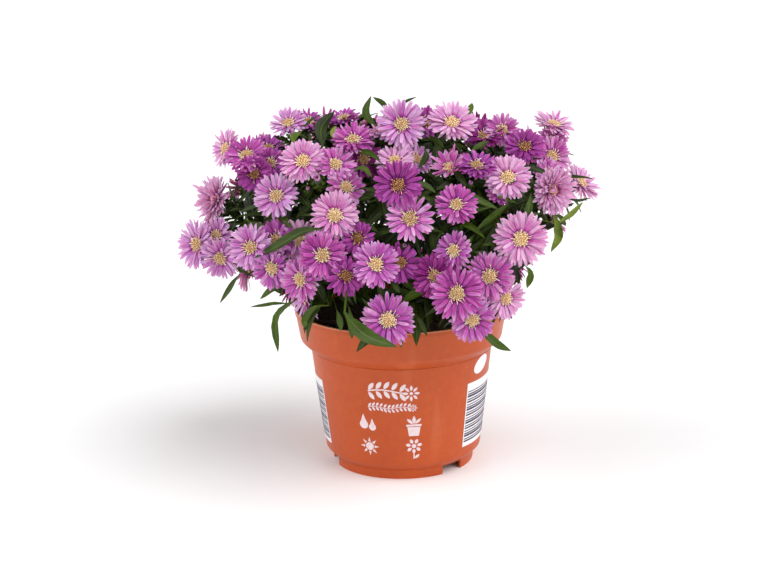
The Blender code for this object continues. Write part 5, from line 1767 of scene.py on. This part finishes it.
class AsterPot(PropertyGroup):
    colour: FloatVectorProperty(
        name="Colour", description="Plastic in the light", subtype="COLOR", default=srgb(196, 82, 20)
    )
    shade: FloatVectorProperty(
        name="Shade", description="Plastic in its darker clouds", subtype="COLOR", default=srgb(168, 63, 10)
    )
    lip: FloatProperty(name="Lip", description="How far the bead stands out", unit="LENGTH", default=0.45 * MM)
    sides: IntProperty(name="Sides", description="Facets round the pot", default=120, min=48)


class AsterCompost(PropertyGroup):
    crumbs: IntProperty(name="Crumbs", description="Loose lumps on the compost", default=260, min=0)
    fibres: IntProperty(name="Fibres", description="Loose fibres on the compost", default=70, min=0)
    rough: FloatProperty(name="Roughness", description="Unevenness", unit="LENGTH", default=1.6 * MM)


class AsterLeaves(PropertyGroup):
    length: FloatProperty(name="Length", description="Length of a stem leaf", unit="LENGTH", default=33 * MM)
    width: FloatProperty(name="Width", description="Width of a stem leaf", unit="LENGTH", default=6.4 * MM)
    spacing: FloatProperty(name="Spacing", description="Gap between leaves", unit="LENGTH", default=4.8 * MM)
    dark: FloatVectorProperty(name="Dark", description="Darkest", subtype="COLOR", default=srgb(10, 15, 4))
    middle: FloatVectorProperty(
        name="Middle", description="Leaf colour between", subtype="COLOR", default=srgb(64, 86, 14)
    )
    pale: FloatVectorProperty(name="Pale", description="Palest", subtype="COLOR", default=srgb(152, 170, 62))


class AsterBlooms(PropertyGroup):
    petals: IntProperty(name="Petals", description="Petals on a bloom 26 mm across", default=63, min=8)
    petal_width: FloatProperty(name="Petal width", description="Outer petal", unit="LENGTH", default=2.15 * MM)
    florets: IntProperty(name="Florets", description="Florets on each disc", default=72, min=12)
    disc: FloatProperty(
        name="Disc", description="Disc radius as a share of the bloom's", subtype="FACTOR",
        default=0.265, min=0.1, max=0.6,
    )
    pale: FloatVectorProperty(
        name="Pale", description="Petal colour at its palest", subtype="COLOR", default=srgb(230, 176, 210)
    )
    middle: FloatVectorProperty(
        name="Middle", description="Petal colour between", subtype="COLOR", default=srgb(188, 74, 162)
    )
    deep: FloatVectorProperty(name="Deep", description="Deepest", subtype="COLOR", default=srgb(118, 2, 98))
    disc_colour: FloatVectorProperty(
        name="Disc colour", description="Fresh floret tips", subtype="COLOR", default=srgb(252, 240, 192)
    )


class AsterStage(PropertyGroup):
    light: FloatProperty(name="Light", description="Strength of the studio lights", default=1.0, min=0)
    floor: FloatProperty(name="Floor", description="Width of the floor", unit="LENGTH", default=8.0)


class ASTER_OT_stems(Operator):
    """Models the stems with their stalks, calyces and leaves, one piece for each main stem"""

    bl_idname = "aster.stems"
    bl_label = "Leafy stems"

    def execute(self, context):
        _, stems, order = plant()
        heads = heads_of(order)
        for number, stem in enumerate(stems):
            draw = np.random.default_rng(300 + number)
            shape = Shape()
            add_tube(shape, smooth_path(stem.path, 6), STEM_RADIUS, STEM_TIP_RADIUS, 9, 1)
            for bloom, line in stem.lines:
                add_tube(shape, smooth_path(line[:-1], 6), TWIG_RADIUS, STALK_RADIUS, 7, 1)
                add_calyx(shape, bloom, draw)
                near = [tree for tree, b in heads if (b.place - bloom.place).length < 50 * MM]
                add_twig_leaves(shape, line, bloom, near, draw)
            for root, tip, *form in stem.leaves:
                if not drawn_there(tip):
                    add_leaf(shape, root, within_outline(tip, 0), *form, draw, 0.16 + 0.5 * draw.random())
            grow_fill(shape, stem, heads, context.scene.aster_leaves, draw)
            finishes = leaf_finish(), stem_finish()
            node = f"leafy_stem_{number + 1:02d}"
            shape.piece(f"stem_and_leaves_{number + 1:02d}", finishes, "leaf_green", (node,))
        return {"FINISHED"}


class ASTER_OT_front_leaves(Operator):
    """Models the leaves that arch out between the blooms and over the rim"""

    bl_idname = "aster.front_leaves"
    bl_label = "Front leaves"

    def execute(self, context):
        draw = np.random.default_rng(77)
        shape = Shape()
        for entry in LEAVES_DRAWN:
            add_drawn_leaf(shape, entry, draw)
        shape.piece("front_leaves", (leaf_finish(),), "leaf_green")
        return {"FINISHED"}


class ASTER_OT_buds(Operator):
    """Models the closed buds on their stalks"""

    bl_idname = "aster.buds"
    bl_label = "Buds"

    def execute(self, context):
        draw = np.random.default_rng(42)
        green, tips = Shape(), Shape()
        for entry in BUDS_DRAWN:
            add_bud(green, tips, entry, draw)
        green.piece("bud_cups", (leaf_finish(), stem_finish()), "leaf_green")
        tips.piece("bud_tips", (petal_finish(),), "petals")
        return {"FINISHED"}


class ASTER_OT_blooms(Operator):
    """Models the blooms with petals, florets and styles, one piece for each bunch that is one solid"""

    bl_idname = "aster.blooms"
    bl_label = "Blooms"

    def execute(self, context):
        settings = context.scene.aster_blooms
        sprays, _, order = plant()
        bodies = [group for spray in sprays for group in groups_in(spray.blooms)]
        for number, group in enumerate(bodies):
            shape = Shape()
            for bloom in group:
                draw = np.random.default_rng(900 + order[bloom])
                look = look_of(order[bloom])
                add_petals(shape, bloom, look, draw, settings)
                add_disc(shape, bloom, look, draw, settings)
            node = f"blooms_{number + 1:02d}"
            low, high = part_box(node)
            if ((low + high) / 2 + ORIGIN - middle_of(group)).length > 12 * MM:
                raise RuntimeError(f"{node} isn't where this script grows it")
            finishes = petal_finish(), disc_finish(), style_finish()
            shape.piece(f"bloom_heads_{number + 1:02d}", finishes, "petals", (node,), 55)
        return {"FINISHED"}


def rounded_line(corners):
    """A section's points from its corners: radius, height, and how far before each its bend starts."""
    made = []
    for i, (radius, height, cut) in enumerate(corners):
        here = Vector((radius, height))
        if cut:
            a, b = (here + unit(Vector(corners[j][:2]) - here) * cut for j in (i - 1, i + 1))
            made += [tuple(bezier(a, here, here, b, k / 4)) for k in range(5)]
        else:
            made.append((radius, height))
    return made


def shell_section(settings):
    """The pot's section: up its outside, over its beaded lip and down to its floor."""
    lip, bench, floor = RIM_RADIUS + settings.lip, WALL * 0.6, FLOOR_HEIGHT + WALL
    return rounded_line((
        (FOOT_RADIUS - WALL, 0, 0), (FOOT_RADIUS, 0, 0.5 * MM), (FOOT_RADIUS + 0.4 * MM, FLOOR_HEIGHT, 0),
        (BODY_FOOT_RADIUS, BODY_FOOT_HEIGHT, 1.3 * MM),
        (BODY_TOP_RADIUS, BODY_TOP_HEIGHT - 0.3 * MM, 0), (BODY_TOP_RADIUS - 0.2 * MM, BODY_TOP_HEIGHT, 0),
        (COLLAR_FOOT_RADIUS, COLLAR_FOOT_HEIGHT, 2.4 * MM), (RIM_RADIUS, POT_HEIGHT - 3.2 * MM, 0.2 * MM),
        (lip, POT_HEIGHT - 2.8 * MM, 0.2 * MM), (lip, POT_HEIGHT, 0.55 * MM),
        (RIM_RADIUS - WALL, POT_HEIGHT, 0.4 * MM),
        (COLLAR_FOOT_RADIUS - WALL, COLLAR_FOOT_HEIGHT + bench, 1.2 * MM),
        (BODY_TOP_RADIUS - WALL, BODY_TOP_HEIGHT + bench, 0.6 * MM),
        (BODY_FOOT_RADIUS - WALL, BODY_FOOT_HEIGHT + bench, 0.8 * MM), (FLOOR_RADIUS, floor, 0),
        (DRAIN_CIRCLE, floor, 0), (0, floor, 0), (0, FLOOR_HEIGHT, 0),
        (DRAIN_CIRCLE, FLOOR_HEIGHT, 0), (FOOT_RADIUS - WALL, FLOOR_HEIGHT, 0),
    ))


def pot_bearings(sides):
    """Bearings of the section's copies: even, with a close pair at each end of a notch."""
    half = math.degrees(NOTCH_WIDTH / 2 / FOOT_RADIUS)
    ends = [b + s * half for b in NOTCH_BEARINGS for s in (-1, 1)]
    made = [k * 360 / sides for k in range(sides)]
    made = [b for b in made if min(abs((b - e % 360 + 180) % 360 - 180) for e in ends) > 0.6]
    return sorted(made + [(e + d) % 360 for e in ends for d in (-0.08, 0.08)]), half


def pot_shell(settings):
    """The shell's points and faces, with the foot lifted out of each notch."""
    section = shell_section(settings)
    bearings, half = pot_bearings(settings.sides)
    count = len(section)
    points, faces = [], []
    for bearing in bearings:
        notched = any(abs((bearing - b + 180) % 360 - 180) < half for b in NOTCH_BEARINGS)
        least = FLOOR_HEIGHT - 0.2 * MM if notched else 0
        way = bearing_vector(bearing)
        points += [way * radius + upward(max(height, least)) for radius, height in section]
    for a in range(0, len(points), count):
        b = (a + count) % len(points)
        faces += [(a + k, b + k, b + (k + 1) % count, a + (k + 1) % count) for k in range(count)]
    return points, faces


def tidied(points, faces, cutters):
    """The mesh with its doubled points joined and the cutters' shapes taken out of it."""
    grid = bmesh.new()
    corners = [grid.verts.new(p) for p in points]
    for face in faces:
        grid.faces.new([corners[i] for i in face])
    bmesh.ops.remove_doubles(grid, verts=grid.verts[:], dist=1e-7)
    bmesh.ops.dissolve_degenerate(grid, edges=grid.edges[:], dist=1e-8)
    bmesh.ops.recalc_face_normals(grid, faces=grid.faces[:])
    data = bpy.data.meshes.new("blank")
    grid.to_mesh(data)
    grid.free()
    blank = linked("blank", data)
    for cutter_points, cutter_faces in cutters:
        data = bpy.data.meshes.new("drain")
        data.from_pydata([tuple(p) for p in cutter_points], [], cutter_faces)
        modifier = blank.modifiers.new("drain", "BOOLEAN")
        modifier.operation = "DIFFERENCE"
        modifier.solver = "EXACT"
        modifier.object = linked("drain", data)
    bpy.context.view_layer.update()
    cut = bpy.data.meshes.new_from_object(blank.evaluated_get(bpy.context.evaluated_depsgraph_get()))
    for old in [modifier.object for modifier in blank.modifiers] + [blank]:
        bpy.data.meshes.remove(old.data)
    return [tuple(v.co) for v in cut.vertices], [tuple(p.vertices) for p in cut.polygons]


class ASTER_OT_pot(Operator):
    """Models the nursery pot with its beaded lip, collar, notched foot and drain holes"""

    bl_idname = "aster.pot"
    bl_label = "Pot"

    def execute(self, context):
        settings = context.scene.aster_pot
        points, faces = pot_shell(settings)
        bearings = [NOTCH_BEARINGS[0] + 360 * k / DRAIN_COUNT for k in range(DRAIN_COUNT)]
        drains = [Vector()] + [bearing_vector(b) * DRAIN_CIRCLE for b in bearings]
        low, high = upward(1 * MM), upward(FLOOR_HEIGHT + 3 * MM)
        cutters = [tube([d + low, d + high], [DRAIN_RADIUS] * 2, 24) for d in drains]
        shape = Shape()
        shape.add(*tidied(points, faces, cutters))
        shape.piece("pot_shell", (pot_finish(),), "pot_plastic", ("pot",), 32)
        return {"FINISHED"}


class ASTER_OT_print(Operator):
    """Lays the printed sprig, care pictures, oval and lined labels on the pot"""

    bl_idname = "aster.print"
    bl_label = "Print"

    def execute(self, context):
        ink, label = Shape(), Shape()
        for loops, column, row, size in (
            (sprig_loops(5, 5.6), 391, 392, 1), (sprig_loops(11, 2.8), 391, 408, 1),
            (drop_loops(), 368, 424, 1.2), (pot_loops(), 414, 427, 1.1),
            (sun_loops(), 370, 446, 1.05), (flower_loops(), 414, 449, 1.15),
        ):
            loops = [[(u * size, v * size) for u, v in loop] for loop in loops]
            print_shape(ink, loops, *on_pot(column, row))
        ink.piece("pot_print", (ink_finish(),), "pot_plastic")
        print_shape(label, [circle(0, 0, 7.6, 36, 0.62, 0.35)], *on_pot(481, 363.5))
        for column, row, side in ((465, 415, 1), (327, 411, -1)):
            spot = on_pot(column, row)
            lay_band(label, 0, side * 30, -20, 19, *spot, 0.02 * MM, 0)
            for k in range(20):
                low = -17.2 + 1.62 * k
                high = low + (0.95, 0.6, 1.2, 0.75, 0.5)[k % 5]
                lay_band(label, side * 0.8, side * 29, low, high, *spot, 0.12 * MM, 1)
        dark = srgb(36, 28, 52), srgb(70, 60, 88)
        rules = plain_finish("dark_rules", 0.4, (900, 3.0), *dark, 0.42, 0.15, 0.1, 0.0001)
        label.piece("pot_labels", (label_finish(), rules), "pot_plastic")
        return {"FINISHED"}


def random_spot(draw, reach, height):
    turn, out = draw.random() * 6.283, reach * sqrt(draw.random())
    return Vector((out * cos(turn), out * sin(turn), height))


def add_crumbs(shape, count, reach, draw):
    blob = bmesh.new()
    bmesh.ops.create_icosphere(blob, subdivisions=1, radius=1)
    corners = [v.co.copy() for v in blob.verts]
    faces = [tuple(v.index for v in f.verts) for f in blob.faces]
    blob.free()
    for k in range(count):
        spot = random_spot(draw, reach, 0)
        size = (0.6 + 1.5 * draw.random() ** 2) * MM
        spot.z = SOIL_HEIGHT + lump(spot.x, spot.y) + size * 0.3
        stretch = Vector((1, 0.6 + 0.5 * draw.random(), 0.5 + 0.4 * draw.random()))
        seed = Vector((k * 3.7, 0, 0))
        made = [spot + v * stretch * size * (1 + 0.45 * noise.noise(v * 1.7 + seed)) for v in corners]
        shape.add(made, faces, own=draw.random())


def add_fibres(shape, count, reach, draw):
    for _ in range(count):
        spot = random_spot(draw, reach, SOIL_HEIGHT + 1.0 * MM)
        spot.z += lump(spot.x, spot.y)
        heading = draw.random() * 6.283
        way = Vector((cos(heading), sin(heading), draw.normal(0, 0.12))) * (3 + 5 * draw.random()) * MM
        bend = Vector((-way.y, way.x, 0)) * draw.normal(0, 0.2)
        leads = spot + way / 3 + bend, spot + way * 2 / 3 + bend
        path = [bezier(spot, *leads, spot + way, t) for t in (0, 0.33, 0.66, 1)]
        add_tube(shape, path, 0.2 * MM, 0.2 * MM, 4, 0, own=0.6 + 0.6 * draw.random())


class ASTER_OT_compost(Operator):
    """Models the compost with its uneven top, crumbs and fibres"""

    bl_idname = "aster.compost"
    bl_label = "Compost"

    def execute(self, context):
        settings = context.scene.aster_compost
        draw = np.random.default_rng(5)
        shape = Shape()
        inner = RIM_RADIUS - WALL - FIT_GAP - 1.1 * MM
        rings = [(0, FLOOR_HEIGHT + WALL + FIT_GAP), (FLOOR_RADIUS - FIT_GAP, FLOOR_HEIGHT + WALL + FIT_GAP)]
        for radius, height in (
            (BODY_FOOT_RADIUS, BODY_FOOT_HEIGHT), (BODY_TOP_RADIUS, BODY_TOP_HEIGHT),
            (COLLAR_FOOT_RADIUS, COLLAR_FOOT_HEIGHT),
        ):
            rings.append((radius - WALL - FIT_GAP, height + WALL))
        rings += [(inner * (1 - k / 30) if k < 30 else 0, SOIL_HEIGHT) for k in range(31)]
        points, faces = lathe(rings, 72)
        for p in points:
            if p.z >= SOIL_HEIGHT:
                p.z += lump(p.x, p.y) + settings.rough * noise.fractal(p * 210, 0.9, 2.1, 4)
        shape.add(points, faces, own=0.3)
        add_crumbs(shape, settings.crumbs, inner * 0.97, draw)
        add_fibres(shape, settings.fibres, inner * 0.95, draw)
        shape.piece("compost_bed", (compost_finish(),), "compost", ("compost",), 60)
        return {"FINISHED"}


def add_light(name, bearing, climb, strength):
    """A soft, even studio light, from a bearing right of the front and a climb in degrees."""
    data = bpy.data.lights.new(name, "SUN")
    data.energy = strength
    data.angle = radians(60)
    rise = radians(climb)
    way = bearing_vector(bearing) * cos(rise) + upward(sin(rise))
    linked(name, data).rotation_euler = way.to_track_quat("Z", "Y").to_euler()


def studio_sky():
    """A white room: bright walls round the stage and a dimmer ceiling."""
    f = Finish("sky", "worlds", "Background", Color=(1, 1, 1))
    height = f.node("ShaderNodeSeparateXYZ", None, {0: f.place("Generated")}, output="Z")
    values = {"Value": height, "From Min": 0.08, "From Max": 0.5, "To Min": 1.0, "To Max": 0.34}
    f.give(Strength=f.node("ShaderNodeMapRange", {"interpolation_type": "SMOOTHSTEP"}, values))
    return f.made


class ASTER_OT_stage(Operator):
    """Sets the floor, the studio lights, the sky and the camera"""

    bl_idname = "aster.stage"
    bl_label = "Stage"

    def execute(self, context):
        settings = context.scene.aster_stage
        data = bpy.data.meshes.new("studio_floor")
        grid = bmesh.new()
        bmesh.ops.create_grid(grid, x_segments=8, y_segments=8, size=settings.floor / 2)
        grid.to_mesh(data)
        grid.free()
        white = srgb(250, 250, 250), srgb(253, 253, 253)
        data.materials.append(plain_finish("studio_floor", 0.2, (4, 2.0), *white, 0.7, 0.1, 0.02, 0.001))
        floor = linked("studio_floor", data)
        add_light("key", 58, 50, 2.5 * settings.light)
        add_light("side", -80, 34, 1.5 * settings.light)
        context.scene.world = studio_sky()
        context.scene.view_settings.view_transform = "Standard"
        lens = bpy.data.cameras.new("camera")
        lens.sensor_width = 36
        lens.lens = SIGHT_FOCAL_PX / (2 * SIGHT_CENTRE_PX[0]) * lens.sensor_width
        camera = linked("camera", lens)
        camera.location = SIGHT_EYE - ORIGIN
        camera.rotation_euler = Matrix((SIGHT_RIGHT, SIGHT_UP, SIGHT_BACK)).transposed().to_euler()
        context.scene.camera = camera
        return {"FINISHED"}


class ASTER_PT_panel(Panel):
    """The aster's pieces, with their settings"""

    bl_label = "Potted aster"
    bl_idname = "ASTER_PT_panel"
    bl_space_type = "VIEW_3D"
    bl_region_type = "UI"
    bl_category = "Aster"

    def draw(self, context):
        for title, group, operators in PARTS:
            box = self.layout.box()
            box.label(text=title)
            settings = getattr(context.scene, "aster_" + title.lower())
            for name in group.__annotations__:
                box.prop(settings, name)
            for operator in operators:
                box.operator(operator.bl_idname)


PARTS = (
    ("Pot", AsterPot, (ASTER_OT_pot, ASTER_OT_print)),
    ("Compost", AsterCompost, (ASTER_OT_compost,)),
    ("Leaves", AsterLeaves, (ASTER_OT_stems, ASTER_OT_front_leaves)),
    ("Blooms", AsterBlooms, (ASTER_OT_blooms, ASTER_OT_buds)),
    ("Stage", AsterStage, (ASTER_OT_stage,)),
)
GROUPS = {"aster_" + title.lower(): group for title, group, _ in PARTS}
CLASSES = (*GROUPS.values(), *(made for _, _, operators in PARTS for made in operators), ASTER_PT_panel)


def register():
    for made in CLASSES:
        bpy.utils.register_class(made)
    for name, group in GROUPS.items():
        setattr(bpy.types.Scene, name, bpy.props.PointerProperty(type=group))


def unregister():
    for name in GROUPS:
        delattr(bpy.types.Scene, name)
    for made in reversed(CLASSES):
        bpy.utils.unregister_class(made)


def main():
    register()
    bpy.ops.aster.pot()
    bpy.ops.aster.print()
    bpy.ops.aster.compost()
    bpy.ops.aster.stems()
    bpy.ops.aster.front_leaves()
    bpy.ops.aster.blooms()
    bpy.ops.aster.buds()
    bpy.ops.aster.stage()


if __name__ == "__main__":
    main()
